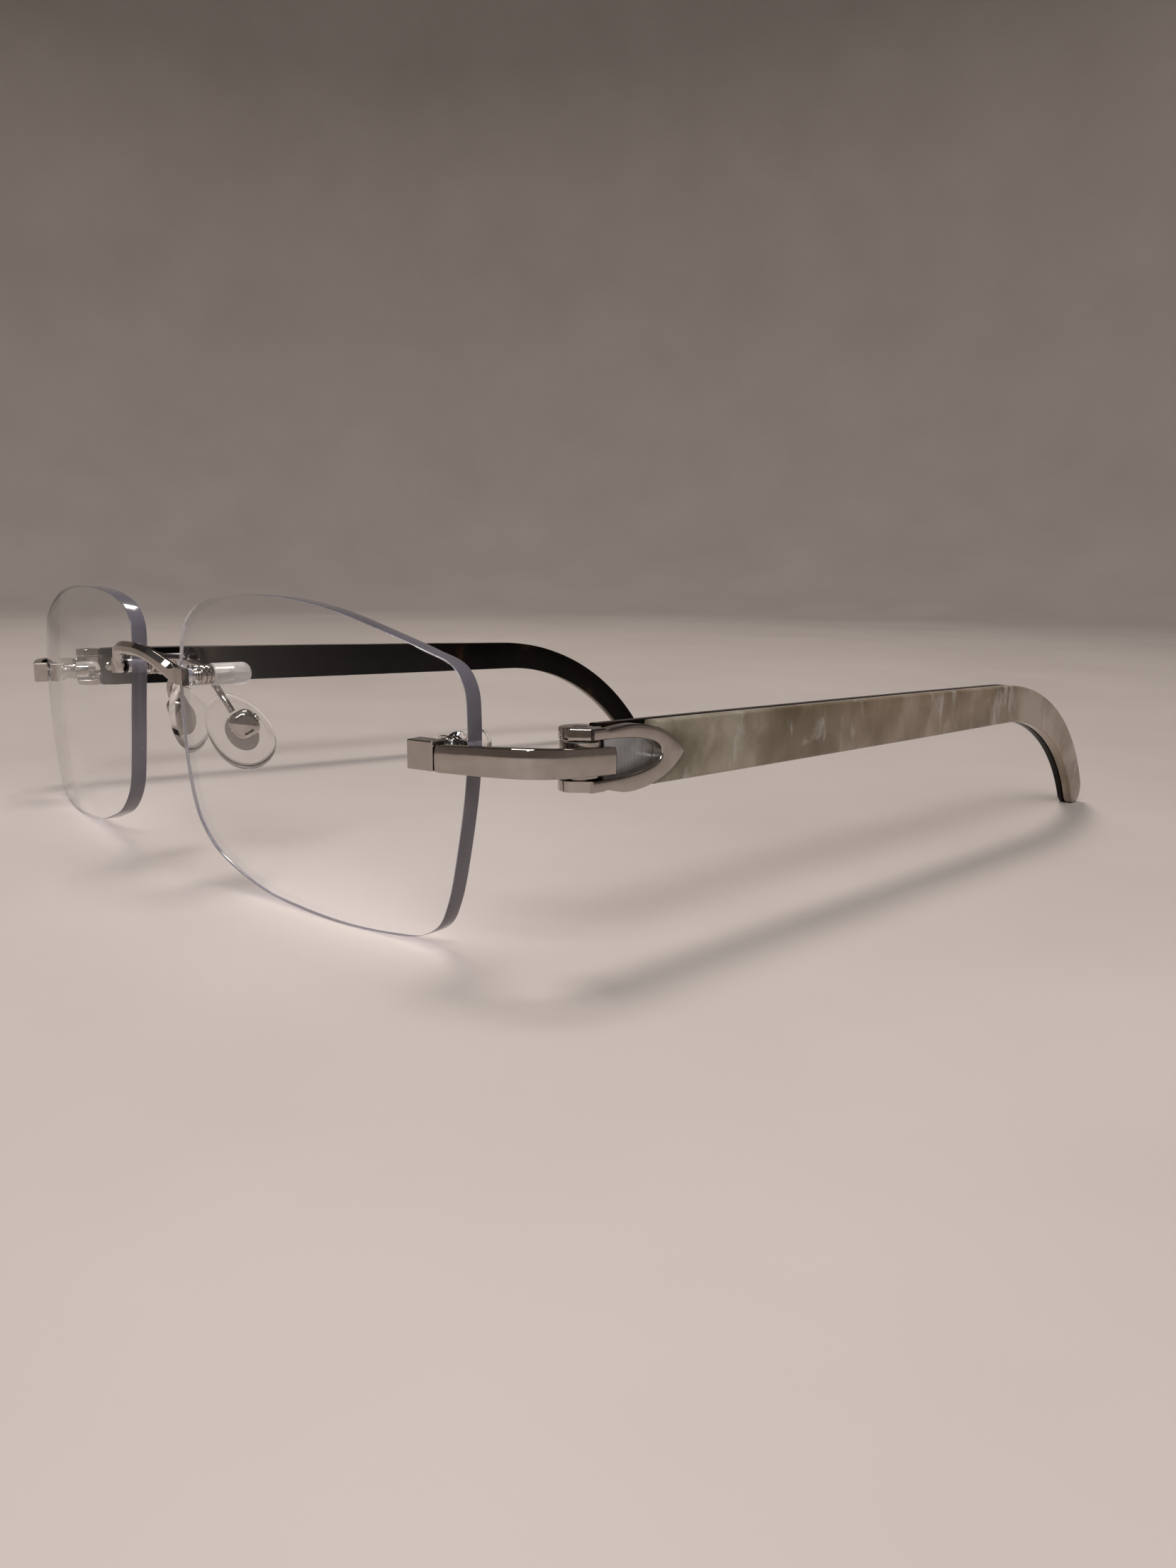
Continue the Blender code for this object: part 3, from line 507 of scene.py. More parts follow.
def even_points(points, count, closed):
    """The same curve with evenly spaced points."""
    dense = np.array(list(points) + ([points[0]] if closed else []))
    run = np.concatenate(([0.0], np.cumsum(np.linalg.norm(np.diff(dense, axis=0), axis=1))))
    at = np.linspace(0.0, run[-1], count, endpoint=not closed)
    return np.stack([np.interp(at, run, dense[:, k]) for k in range(dense.shape[1])], 1)


# ---------------------------------------------------------------- making pieces

def orient(mesh):
    """Turn all faces outward."""
    volume = sum(mesh.vertices[f.vertices[0]].co.dot(
        mesh.vertices[f.vertices[i]].co.cross(mesh.vertices[f.vertices[i + 1]].co))
        for f in mesh.polygons for i in range(1, len(f.vertices) - 1))
    if volume < 0.0:
        mesh.flip_normals()


def to_world(point, side):
    """Left-side millimetres to the frame's metres; side is 1 for left and -1 for right."""
    return Vector(((side * point[0] + SHIFT.x) * MM, (point[1] + SHIFT.y) * MM, point[2] * MM))


def raw_object(name, shape, side):
    mesh = bpy.data.meshes.new(name)
    mesh.from_pydata([to_world(p, side) for p in shape.verts], [], shape.faces)
    mesh.update()
    orient(mesh)
    ob = bpy.data.objects.new(name, mesh)
    bpy.context.scene.collection.objects.link(ob)
    return ob


def evaluated_mesh(ob):
    bpy.context.view_layer.update()
    return bpy.data.meshes.new_from_object(ob.evaluated_get(bpy.context.evaluated_depsgraph_get()))


def combine(ob, tools, side):
    """Apply boolean steps ("UNION" or "DIFFERENCE", shape)."""
    made = []
    for index, (operation, shape) in enumerate(tools):
        tool = raw_object(f"{ob.name}_tool{index}", shape, side)
        step = ob.modifiers.new(f"step{index}", "BOOLEAN")
        step.operation = operation
        step.solver = "EXACT"
        step.object = tool
        made.append(tool)
    result = evaluated_mesh(ob)
    ob.modifiers.clear()
    ob.data = result
    for tool in made:
        bpy.data.objects.remove(tool, do_unlink=True)


def soften(ob, width):
    """Round the sharp edges a little, so that they catch the light."""
    step = ob.modifiers.new("soften", "BEVEL")
    step.width = width * MM
    step.segments = 3
    step.limit_method = "ANGLE"
    step.angle_limit = math.radians(30.0)
    step.harden_normals = True
    step.use_clamp_overlap = True


def piece(name, shape, side, tools=(), edge=0.0, sharp=32.0):
    """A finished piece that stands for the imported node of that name.

    edge is the width of its rounded edges in millimetres, sharp the angle in degrees
    above which an edge is shaded sharp.
    """
    ob = raw_object(f"{name}_finish", shape, side)
    if tools:
        combine(ob, tools, side)
    ob.data.materials.clear()
    for mat in MATERIALS[SLOT_OF[name]]:
        ob.data.materials.append(mat)
    ob.data.shade_smooth()
    ob.data.set_sharp_from_angle(angle=math.radians(sharp))
    if edge:
        soften(ob, edge)
    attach(ob, BODY_OF[name])
    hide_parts(name)
    return ob


# ---------------------------------------------------------------- lenses

def lens_edge(count):
    return even_points(curve_through(LENS_EDGE, 16, closed=True), count, closed=True)


LENS_CENTRE = np.array((LENS_CENTRE_X, 0.0, -lens_edge(400)[:, 1].min()))
ACROSS = np.array((math.cos(WRAP), math.sin(WRAP), 0.0))
BACK = np.array((-math.sin(WRAP), math.cos(WRAP), 0.0))
CURVE_CENTRE = LENS_CENTRE + BASE_RADIUS * BACK


def lens_point(u, v, depth=0.0):
    """Point of the lens at a place on its outline plane, at a depth behind its front face."""
    sag = BASE_RADIUS - math.sqrt(BASE_RADIUS ** 2 - u * u - v * v)
    return LENS_CENTRE + u * ACROSS + v * UP + (sag + depth) * BACK


def mount_frame(mount):
    """Point on the lens front, the level tangent, and the direction back through it."""
    x, z = mount
    v = z - LENS_CENTRE[2]
    u = (x - LENS_CENTRE_X) / math.cos(WRAP)
    for _ in range(8):
        u += (x - lens_point(u, v)[0]) / math.cos(WRAP)
    point = lens_point(u, v)
    back = CURVE_CENTRE - point
    back[2] = 0.0
    back = unit(back)
    return point, np.array((back[1], -back[0], 0.0)), back


def lens_shape(count=300, rings=9):
    """Curved lens with a softened edge, in rings from front to back."""
    bevel = 0.15
    edge = lens_edge(count)
    outward = edge / np.linalg.norm(edge, axis=1, keepdims=True)
    inner = [(edge * k / rings, 0.0) for k in range(1, rings)]
    rim = []
    for k in range(4):
        t = math.radians(30.0 * k)
        rim.append((edge - outward * bevel * (1 - math.sin(t)), bevel * (1 - math.cos(t))))
    rim += [(ring, LENS_THICKNESS - depth) for ring, depth in rim[::-1]]
    layers = inner + rim + [(ring, LENS_THICKNESS) for ring, _ in inner[::-1]]
    verts, rows = [lens_point(0.0, 0.0)], []
    for ring, depth in layers:
        rows.append(range(len(verts), len(verts) + count))
        verts += [lens_point(u, v, depth) for u, v in ring]
    last = len(verts)
    verts.append(lens_point(0.0, 0.0, LENS_THICKNESS))
    faces = []
    for k in range(count):
        m = (k + 1) % count
        faces.append((0, rows[0][k], rows[0][m]))
        faces.append((last, rows[-1][m], rows[-1][k]))
        for low_row, high_row in zip(rows, rows[1:]):
            faces.append((low_row[k], high_row[k], high_row[m], low_row[m]))
    return Shape(verts, faces)


def lens(side, tag):
    """Drilled lens; the faces are shaded as true spheres, the rim has its own material."""
    holes = []
    for mount in (NASAL_MOUNT, TEMPORAL_MOUNT):
        point, _, back = mount_frame(mount)
        holes.append(("DIFFERENCE", through_hole(LENS_HOLE_R, point, back, 32, (-4.0, 6.0))))
    ob = piece(f"{tag}_lens", lens_shape(), side, holes, sharp=40.0)
    mesh = ob.data
    facing = Vector((side * BACK[0], BACK[1], BACK[2]))
    centre = to_world(CURVE_CENTRE, side)
    normals = []
    for face in mesh.polygons:
        turned = face.normal.dot(facing)
        on_rim = abs(turned) < 0.9
        if on_rim:
            face.material_index = 1
        for loop in face.loop_indices:
            if on_rim:
                normals.append((0.0, 0.0, 0.0))
                continue
            towards = (centre - mesh.vertices[mesh.loops[loop].vertex_index].co).normalized()
            normals.append(towards if turned > 0 else -towards)
    mesh.normals_split_custom_set(normals)


# ---------------------------------------------------------------- small hardware

WASHER_GAP, SEAT_GAP = 0.13, 0.05
THREAD_PITCH = 0.3
GROOVE_DEPTH = 0.18


def stud_shape(front_gap, rear, tail, point, back):
    """Threaded stud from just in front of the lens face to the inside of the cap."""
    profile = [(0.0, -front_gap), (STUD_R, -front_gap), (STUD_R, rear)]
    for k in range(int((tail - 0.3 - rear) / THREAD_PITCH)):
        at = rear + k * THREAD_PITCH
        profile += [(STUD_R - 0.09, at + 0.12), (STUD_R, at + 0.27)]
    profile += [(STUD_R - 0.2, tail), (0.0, tail)]
    return revolve(profile, point, back, 32)


def bushing_shape(inner, rear, flange, point, back):
    """Sleeve in the lens hole with a flange against the back of the lens."""
    sleeve, lip = LENS_HOLE_R - 0.05, 0.12
    radius, end = flange[0], rear + flange[1]
    return revolve([(inner, 0.1), (sleeve, 0.1), (sleeve, rear), (radius - lip, rear), (radius, rear + lip),
                    (radius, end - lip), (radius - lip, end), (inner, end)], point, back)


def nut_shape(inner, start, nut, point, back):
    """Round nut with two grooves and rounded ends."""
    radius, length = nut
    end = start + length
    profile = [(inner, start), (radius - 0.12, start), (radius - 0.035, start + 0.035),
               (radius, start + 0.12)]
    for step in (1, 2):
        at = start + length / 3.0 * step
        profile += [(radius, at - 0.15), (radius - GROOVE_DEPTH, at - 0.08)]
        profile += [(radius - GROOVE_DEPTH, at + 0.08), (radius, at + 0.15)]
    profile += [(radius, end - 0.12), (radius - 0.035, end - 0.035), (radius - 0.12, end), (inner, end)]
    return revolve(profile, point, back)


def cap_shape(inner, start, cap, floor, point, back):
    """Soft cap with a domed end, hollow as far as the stud reaches."""
    radius, length = cap
    dome = 0.75 * radius
    profile = [(inner, start), (radius - 0.15, start), (radius - 0.045, start + 0.045),
               (radius, start + 0.15)]
    for k in range(10):
        t = math.radians(10.0 * k)
        profile.append((radius * math.cos(t) if k < 9 else 0.0, start + length - dome + dome * math.sin(t)))
    profile += [(0.0, floor), (inner, floor), profile[0]]
    return revolve(profile, point, back)


def stud_set(side, tag, mount, front_gap, tail, flange, nut, cap):
    """Stud, clear bushing, nut and cap on one drilled hole. flange, nut and cap are (radius, length)."""
    point, _, back = mount_frame(mount)
    rear = LENS_THICKNESS + WASHER_GAP
    inner = STUD_R + 0.06
    nut_from = rear + flange[1] + SEAT_GAP
    cap_from = nut_from + nut[1] + SEAT_GAP
    piece(f"{tag}_stud", stud_shape(front_gap, rear, tail, point, back), side)
    piece(f"{tag}_bushing", bushing_shape(inner, rear, flange, point, back), side)
    piece(f"{tag}_nut", nut_shape(inner, nut_from, nut, point, back), side)
    piece(f"{tag}_cap", cap_shape(inner, cap_from, cap, tail + 0.1, point, back), side)


# ---------------------------------------------------------------- end piece

def bezier(a, b, c, d, t):
    a, b, c, d = (np.asarray(p, float) for p in (a, b, c, d))
    return (1 - t) ** 3 * a + 3 * (1 - t) ** 2 * t * b + 3 * (1 - t) * t * t * c + t ** 3 * d


def end_block(side, tag):
    """Square block on the front of the lens at the temple side."""
    point, along, back = mount_frame(TEMPORAL_MOUNT)
    shape = slab(rectangle(BLOCK_WIDTH / 2, BLOCK_HEIGHT / 2), 0.12, BLOCK_FRONT)
    placed = shape.at(lambda p: point + along * p[0] + UP * p[1] - back * p[2])
    piece(f"{tag}_end_block", placed, side, edge=0.13)


def bar_section(half, inset):
    """Bar section: flat inner face, crowned outer face that rolls over at the top, narrow bevels."""
    t, bevel, inner_bevel = BAR_THICKNESS / 2 - inset, 0.1, 0.15
    outer = []
    for b in np.linspace(-half + bevel, half - bevel, 13):
        share = b / half
        outer.append((t - 0.05 * share ** 2 - 0.16 * max(share - 0.25, 0.0) ** 2, b))
    top, low_edge = outer[-1][0], outer[0][0]
    upper = [(top - 0.04, half - 0.03), (top - 0.12, half), (-t + inner_bevel, half),
             (-t, half - inner_bevel)]
    lower = [(-t, -half + inner_bevel), (-t + inner_bevel, -half), (low_edge - 0.12, -half),
             (low_edge - 0.04, -half + 0.03)]
    return outer + upper + lower


def end_bar(side, tag):
    """Curved bar from the block round to the tongue, with the hinge barrel inside it."""
    point, along, back = mount_frame(TEMPORAL_MOUNT)
    start = point + along * (BLOCK_WIDTH / 2 + 0.08) - back * (BLOCK_FRONT - 0.1)
    outer = HINGE_X + BAR_OUT
    bend_end = np.array((outer, HINGE_Y - 2.3, 0.0))
    handle_a = start + along * 9.0
    handle_b = bend_end - np.array((0.0, 5.5, 0.0))
    path = [bezier(start, handle_a, handle_b, bend_end, k / 48) for k in range(49)]
    path += [np.array((outer, HINGE_Y + y, 0.0)) for y in np.linspace(-1.6, TONGUE_END - 0.15, 8)]
    path.append(np.array((outer, HINGE_Y + TONGUE_END, 0.0)))
    sections = []
    for i, p in enumerate(path):
        tangent = unit(chord(path, i) * (1, 1, 0))
        outward = np.array((tangent[1], -tangent[0], 0.0))
        share = i / (len(path) - 1)
        outer_end = (2 * share - 1) ** 2
        half = BAR_HALF - BAR_TAPER * outer_end
        centre_z = (TEMPORAL_MOUNT[1] + (HINGE_Z - TEMPORAL_MOUNT[1]) * share - BAR_SINK
                    + BAR_ARCH * (1 - outer_end))
        inset = 0.07 if i in (0, len(path) - 1) else 0.0
        ring = []
        for a, b in bar_section(half - inset, inset):
            q = p + outward * (a - BAR_THICKNESS / 2)
            ring.append((q[0], q[1], centre_z + b))
        sections.append(ring)
    hinge = (HINGE_X, HINGE_Y, HINGE_Z)
    barrel = revolve([(0.0, -BARREL_HALF), (BARREL_R - 0.12, -BARREL_HALF), (BARREL_R, -BARREL_HALF + 0.12),
                      (BARREL_R, BARREL_HALF - 0.12), (BARREL_R - 0.12, BARREL_HALF), (0.0, BARREL_HALF)],
                     hinge, UP, 64)
    bore = through_hole(SCREW_R + 0.06, hinge, UP, 32, (-6.0, 6.0))
    piece(f"{tag}_end_bar", loft(sections), side, [("UNION", barrel), ("DIFFERENCE", bore)], sharp=24.0)


# ---------------------------------------------------------------- temple body

def temple_place(fold):
    """Map (outward, back, up) from the hinge axis into the left-side frame."""
    turn = TOE_IN + fold
    outward = np.array((math.cos(turn), math.sin(turn), 0.0))
    along = np.array((-math.sin(turn), math.cos(turn), 0.0))
    origin = np.array((HINGE_X, HINGE_Y, HINGE_Z))
    return lambda p: origin + outward * p[0] + along * p[1] + UP * p[2]


def half_height(s):
    """Half the height of the temple at a distance along it."""
    reach, halves = zip(*TEMPLE_HALF)
    return float(np.interp(s, reach, halves))


def temple_track(start):
    """Centre line as (arc length, back, up, direction) from a start distance to the tip."""
    step = 1.5
    tip_r = half_height(140.0)
    run = list(np.arange(start, BEND_START - 1.0, 4.0)) + [BEND_START]
    track = [(s, s, -math.tan(TEMPLE_DROP) * s, TEMPLE_DROP) for s in run]
    base_y, base_z = BEND_START, -math.tan(TEMPLE_DROP) * BEND_START
    sin0, cos0 = math.sin(TEMPLE_DROP), math.cos(TEMPLE_DROP)
    fall = HINGE_Z + base_z - tip_r
    end = math.acos(cos0 - fall / BEND_RADIUS)
    count = math.ceil(BEND_RADIUS * (end - TEMPLE_DROP) / step)
    for k in range(1, count + 1):
        t = TEMPLE_DROP + (end - TEMPLE_DROP) * k / count
        track.append((BEND_START + BEND_RADIUS * (t - TEMPLE_DROP),
                      base_y + BEND_RADIUS * (math.sin(t) - sin0),
                      base_z - BEND_RADIUS * (cos0 - math.cos(t)), t))
    last = track[-1]
    for k in range(1, 12):
        d = tip_r * math.sin(math.radians(7.8 * k))
        track.append((last[0] + d, last[1] + d * math.cos(last[3]), last[2] - d * math.sin(last[3]), last[3]))
    return track, last[0], tip_r


def temple_layer(start, low_level, high_level):
    """One laminate of the temple between two outward distances."""
    track, round_from, tip_r = temple_track(start)
    sections = []
    for s, back, up, lean in track:
        half = half_height(s)
        if s > round_from:
            half = math.sqrt(max(tip_r ** 2 - (s - round_from) ** 2, 0.04))
        bent = max(0.0, s - BEND_START) / (round_from - BEND_START)
        thin = 1.0 - 0.22 * bent
        middle = (low_level + high_level) / 2 * thin - TIP_INWARD * bent ** 2
        thick = (high_level - low_level) / 2 * thin
        ring = []
        for a, b in rounded_rectangle(thick, half, min(0.42 * thick, 0.9 * half)):
            ring.append((middle + a, back + b * math.sin(lean), up + b * math.cos(lean)))
        sections.append(ring)
    return loft(sections)


def fork_outline(count=60):
    """Pairs of (outer, inner) points along one rail of the fork, from the ear to the pointed rear."""
    ring_from, hump_end = 1.75, 0.28
    outer = [(y, EAR_HALF) for y in np.linspace(RAIL_FRONT, RAIL_NECK, 5)]
    outer += [(1.25, EAR_HALF - 0.02), (1.4, EAR_HALF - 0.06), (1.55, WAIST_HALF + 0.02)]
    inner = [(y, WINDOW_HALF) for y, _ in outer]
    for k in range(count):
        t = k / (count - 1)
        back = ring_from + (FORK_TIP - ring_from) * t ** 0.85
        rise = FORK_HALF * (1 - t ** 2.7) ** 0.85
        if t < hump_end:
            rise -= (FORK_HALF - WAIST_HALF) * (1 - t / hump_end) ** 2
        a = math.radians(90.0 * t)
        outer.append((back, rise))
        inner.append((ring_from + (WINDOW_END - ring_from) * math.sin(a),
                      WINDOW_HALF * max(math.cos(a), 0.0) ** 0.8))
    inner[-1] = (WINDOW_END, 0.0)
    return outer, inner


def ring_drop(back):
    """How far the ring hangs below the hinge axis at a distance behind it."""
    return RING_SAG * min(max((back - RAIL_NECK) / 3.0, 0.0), 1.0)


def fork_shape():
    """The fork without its ears: two rails that meet in a pointed ring."""
    outer, inner = fork_outline()
    half = list(zip(outer, inner))
    stations = [(o, i, -1) for o, i in half] + [(o, i, 1) for o, i in half[-2::-1]]
    sections = []
    for (oy, oz), (iy, iz), sign in stations:
        low_level, high_level, edge = FORK_IN, FORK_OUT, 0.26
        if oy <= RAIL_NECK + 0.01:
            low_level = 0.9
        foot, crest = sign * iz, sign * oz - ring_drop(oy)
        dy, dz = oy - iy, crest - foot
        size = math.hypot(dy, dz)
        ring = [(low_level, iy, foot)]
        for k in range(5):
            t = math.radians(22.5 * k)
            run = edge * (1 - math.cos(t)) / size
            ring.append((high_level - edge + edge * math.sin(t), iy + dy * run, foot + dz * run))
        for k in range(4, -1, -1):
            t = math.radians(22.5 * k)
            run = edge * (1 - math.cos(t)) / size
            ring.append((high_level - edge + edge * math.sin(t), oy - dy * run, crest - dz * run))
        ring.append((low_level, oy, crest))
        sections.append(ring)
    return loft(sections)


def ear_shape(sign, count=90):
    """Round ear about the hinge axis, above or below the barrel, with a flat that faces forward."""
    profile = ((0.05, WINDOW_HALF), (0.0, WINDOW_HALF + 0.05), (0.0, EAR_HALF - 0.14),
               (0.04, EAR_HALF - 0.04), (0.14, EAR_HALF))
    sections = []
    for inset, level in profile:
        ring = []
        for k in range(count):
            t = 2 * math.pi * k / count
            reach = min(EAR_R - inset, (EAR_FLAT - inset) / max(math.cos(t - EAR_FLAT_TURN), 0.1))
            ring.append((reach * math.cos(t), reach * math.sin(t), sign * level))
        sections.append(ring)
    return loft(sections)


def ogive_outline(grow):
    """Outline of the pocket that the ring lies in, without the rails in front of it."""
    in_front = 9
    rail = fork_outline()[0][in_front:-1]
    upper = [(y, z + grow - ring_drop(y)) for y, z in rail]
    lower = [(y, -z - grow - ring_drop(y)) for y, z in rail]
    return upper + [(FORK_TIP + grow, -RING_SAG)] + lower[::-1]


def plate_outline(grow=0.0):
    """Outline of the brushed plate, square in front and round behind."""
    round_from, reach, half, front_half = 6.9, 3.2, 2.5, 2.35
    points = [(PLATE_FRONT, -front_half - grow)]
    for k in range(33):
        a = math.radians(-90.0 + 180.0 * k / 32)
        points.append((round_from + (reach + grow) * math.cos(a), (half + grow) * math.sin(a)))
    return points + [(PLATE_FRONT, front_half + grow)]


RIVETS = (("front", 3.6), ("back", 7.6))
RIVET_DOME_R, RIVET_DOME = 0.95, 0.45


def fork_and_screw(side, tag, place):
    bore = through_hole(SCREW_R + 0.04, (0, 0, 0), UP, 32, (-6.0, 6.0))
    steps = [("UNION", ear_shape(1)), ("UNION", ear_shape(-1)), ("DIFFERENCE", bore)]
    piece(f"{tag}_hinge_fork", fork_shape().at(place), side,
          [(operation, shape.at(place)) for operation, shape in steps], sharp=28.0)
    top = EAR_HALF - 0.02
    head = [(0.0, -top), (SCREW_R, -top), (SCREW_R, top - 0.12), (SCREW_R - 0.12, top), (0.0, top)]
    drive = slab(rectangle(1.0, 0.11), top - 0.3, top + 0.3)
    piece(f"{tag}_hinge_screw", revolve(head, (0, 0, 0), UP, 40).at(place), side,
          [("DIFFERENCE", drive.at(place))])


def rivet(side, tag, name, y, place, flat):
    """Domed rivet with a slot, in the inner face of the temple."""
    level = LAYER_IN - 0.04
    dome = [(RIVET_DOME_R * math.cos(t), level - RIVET_DOME * math.sin(t))
            for t in (math.radians(11.25 * k) for k in range(8))]
    profile = [(0.0, LAYER_MID - 0.02), (0.5, LAYER_MID - 0.02), (0.5, level)] + dome
    profile.append((0.0, level - RIVET_DOME))
    drive = slab(rectangle(1.2, 0.09, (y, 0.0)), level - 1.0, level - 0.2)
    piece(f"{tag}_rivet_{name}", revolve(profile, (0.0, y, 0.0), (1, 0, 0), 32).at(place), side,
          [("DIFFERENCE", drive.at(flat))])


def temple(side, tag, fold):
    """Everything that turns about the hinge."""
    place = temple_place(fold)

    def flat(p):
        return place((p[2], p[0], p[1]))

    fork_and_screw(side, tag, place)
    plate = slab(plate_outline(), LAYER_MID + LAYER_GAP, FORK_IN - LAYER_GAP)
    piece(f"{tag}_window_plate", plate.at(flat), side, edge=0.05)
    pocket = slab(ogive_outline(0.06), FORK_IN - LAYER_GAP, 6.0)
    slot = slab(plate_outline(0.06), -3.0, 6.0)
    piece(f"{tag}_temple_outer", temple_layer(OUTER_FRONT, LAYER_MID + LAYER_GAP, LAYER_OUT).at(place), side,
          [("DIFFERENCE", pocket.at(flat)), ("DIFFERENCE", slot.at(flat))])
    holes = [through_hole(0.56, (0.0, y, 0.0), (1, 0, 0), 24, (-3.0, 3.0)) for _, y in RIVETS]
    piece(f"{tag}_temple_inner", temple_layer(PLATE_FRONT, LAYER_IN, LAYER_MID).at(place), side,
          [("DIFFERENCE", h.at(place)) for h in holes])
    for name, y in RIVETS:
        rivet(side, tag, name, y, place, flat)


# ---------------------------------------------------------------- bridge and pads

# (back, up) corners of the arch as shares of its half depth and half height
BRIDGE_SECTION = ((1, 0.5), (0.5, 1), (-0.25, 1), (-1, 0.3), (-1, -0.5), (-0.5, -1), (0.5, -1), (1, -0.5))


def bridge():
    """Arch over the nose whose ends square up into flat blocks on the lens fronts."""
    right = [(-x, y, z) for x, y, z in BRIDGE_PATH[:0:-1]]
    path = curve_through(right + list(BRIDGE_PATH), 8)
    blend_from, blend_length = 8.2, 1.3
    reach, halves_y, halves_z = zip(*BRIDGE_HALF)
    sections = []
    for i, p in enumerate(path):
        tangent = unit(chord(path, i))
        depth = unit(np.cross(UP, tangent))
        rise = np.cross(tangent, depth)
        level = min(max((abs(p[0]) - blend_from) / blend_length, 0.0), 1.0)
        depth = unit(depth * (1 - level) + np.array((0.0, 1.0, 0.0)) * level)
        rise = unit(rise * (1 - level) + UP * level)
        half_y = np.interp(abs(p[0]), reach, halves_y)
        half_z = np.interp(abs(p[0]), reach, halves_z)
        ring = []
        for a, b in BRIDGE_SECTION:
            square = np.array((math.copysign(0.97, a), math.copysign(0.97, b)))
            a, b = np.array((a, b)) * (1 - level) + square * level
            ring.append(p + depth * a * half_y + rise * b * half_z)
        sections.append(ring)
    piece("bridge", loft(sections), 1.0, edge=0.09, sharp=24.0)


def tube(path, radius, sides=20):
    """Round wire along a path."""
    sections = []
    for i, p in enumerate(path):
        tangent = unit(chord(path, i))
        a = unit(np.cross(tangent, (0.0, 0.3, 1.0)))
        b = np.cross(tangent, a)
        sections.append([p + radius * (math.cos(t) * a + math.sin(t) * b)
                         for t in (2 * math.pi * k / sides for k in range(sides))])
    return loft(sections)


def pad_place():
    """Map (along the pad, back across it, towards the nose) into the left-side frame."""
    up, back = unit(PAD_UP), unit(PAD_BACK)
    nose = np.cross(up, back)
    origin = np.asarray(PAD_CENTRE)
    return lambda p: origin + up * p[0] + back * p[1] + nose * p[2]


def pad_shape(count=72):
    """Egg-shaped cushion, flat on its arm side and domed towards the nose."""
    profile = curve_through(((0.55, -1.09), (0.80, -1.05), (0.95, -0.8), (1.0, -0.25), (0.965, 0.4),
                             (0.83, 0.82), (0.55, 1.02), (0.2, 1.09)), 4)
    sections = []
    for scale, level in profile:
        ring = []
        for k in range(count):
            t = 2 * math.pi * k / count
            a, b = math.cos(t), math.sin(t)
            ring.append((PAD_LENGTH / 2 * a * scale, PAD_WIDTH / 2 * b * (1 - 0.14 * a) * scale, level))
        sections.append(ring)
    return loft(sections)


def cushion(outline, centre, low_level, high_level):
    """Solid with a domed lower side and a softly rounded rim on the other side."""
    dome, inset, rim, reach = 1.15, 0.85, 0.4, 1.85
    rings = [(0.18, low_level - 0.02)]
    for k in range(9):
        t = math.radians(11.25 * k)
        rings.append((1.0 - inset / reach * (1 - math.sin(t)), low_level + 0.1 + dome * (1 - math.cos(t))))
    for k in range(5):
        t = math.radians(22.5 * k)
        rings.append((1.0 - rim / reach * (1 - math.cos(t)), high_level - rim * (1 - math.sin(t))))
    return loft([[(centre[0] + a * scale, centre[1] + b * scale, level) for a, b in outline]
                 for scale, level in rings])


def nose_pad(side, tag):
    """Clear cushion, the plate in it, and the box, screw and wire arm that hold it."""
    place = pad_place()
    length, width, depth = PAD_BOX
    at_l, at_w = PAD_BOX_AT
    skin = -PAD_THICK / 2
    top = skin - 0.5
    box_top = top - 0.4
    axis_level = box_top - depth / 2
    pivot, across = (at_l, at_w, axis_level), (0, 1, 0)
    piece(f"{tag}_nose_pad", pad_shape().at(place), side, sharp=60.0)
    oval = [(PAD_PLATE_AT[0] + PAD_PLATE[0] * math.cos(t), PAD_PLATE_AT[1] + PAD_PLATE[1] * math.sin(t))
            for t in (2 * math.pi * k / 48 for k in range(48))]
    lug = slab(rectangle(0.85, 0.45, PAD_BOX_AT), axis_level - 0.7, top + 0.2)
    pin = through_hole(PAD_SCREW_R + 0.07, pivot, across, 24)
    piece(f"{tag}_pad_insert", slab(oval, top, skin - 0.03).at(place), side,
          [("UNION", lug.at(place)), ("DIFFERENCE", pin.at(place))], edge=0.05)
    body = cushion(rounded_rectangle(length / 2, width / 2, 1.25, 8), PAD_BOX_AT, box_top - depth, box_top)
    slot = slab(rectangle(1.3, 0.6, PAD_BOX_AT), axis_level - 0.95, top + 1.0)
    grip = through_hole(PAD_SCREW_R + 0.03, pivot, across, 24)
    piece(f"{tag}_pad_box", body.at(place), side,
          [("DIFFERENCE", slot.at(place)), ("DIFFERENCE", grip.at(place))], sharp=40.0)
    half = width / 2
    screw = revolve([(0.0, -half), (PAD_SCREW_R, -half), (PAD_SCREW_R, half + 0.03), (0.6, half + 0.03),
                     (0.58, half + 0.15), (0.5, half + 0.24), (0.3, half + 0.29), (0.0, half + 0.3)],
                    pivot, across, 32)
    piece(f"{tag}_pad_screw", screw.at(place), side)
    box_end = place((at_l + length / 2 + 0.35, at_w - 0.3, axis_level))
    path = curve_through(list(ARM_PATH) + [tuple(box_end)], 8)
    piece(f"{tag}_pad_arm", tube(path, ARM_R), side)


def half_frame(side, tag, fold):
    """One lens with everything on its side of the frame."""
    lens(side, tag)
    stud_set(side, f"{tag}_bridge", NASAL_MOUNT, front_gap=0.1, tail=LENS_THICKNESS + 5.2,
             flange=(1.35, 0.8), nut=(1.3, 1.6), cap=(1.45, 5.0))
    stud_set(side, f"{tag}_end", TEMPORAL_MOUNT, front_gap=0.06, tail=LENS_THICKNESS + 4.4,
             flange=(1.6, 0.5), nut=(1.3, 1.9), cap=(1.7, 3.9))
    end_block(side, tag)
    end_bar(side, tag)
    temple(side, tag, fold)
    nose_pad(side, tag)


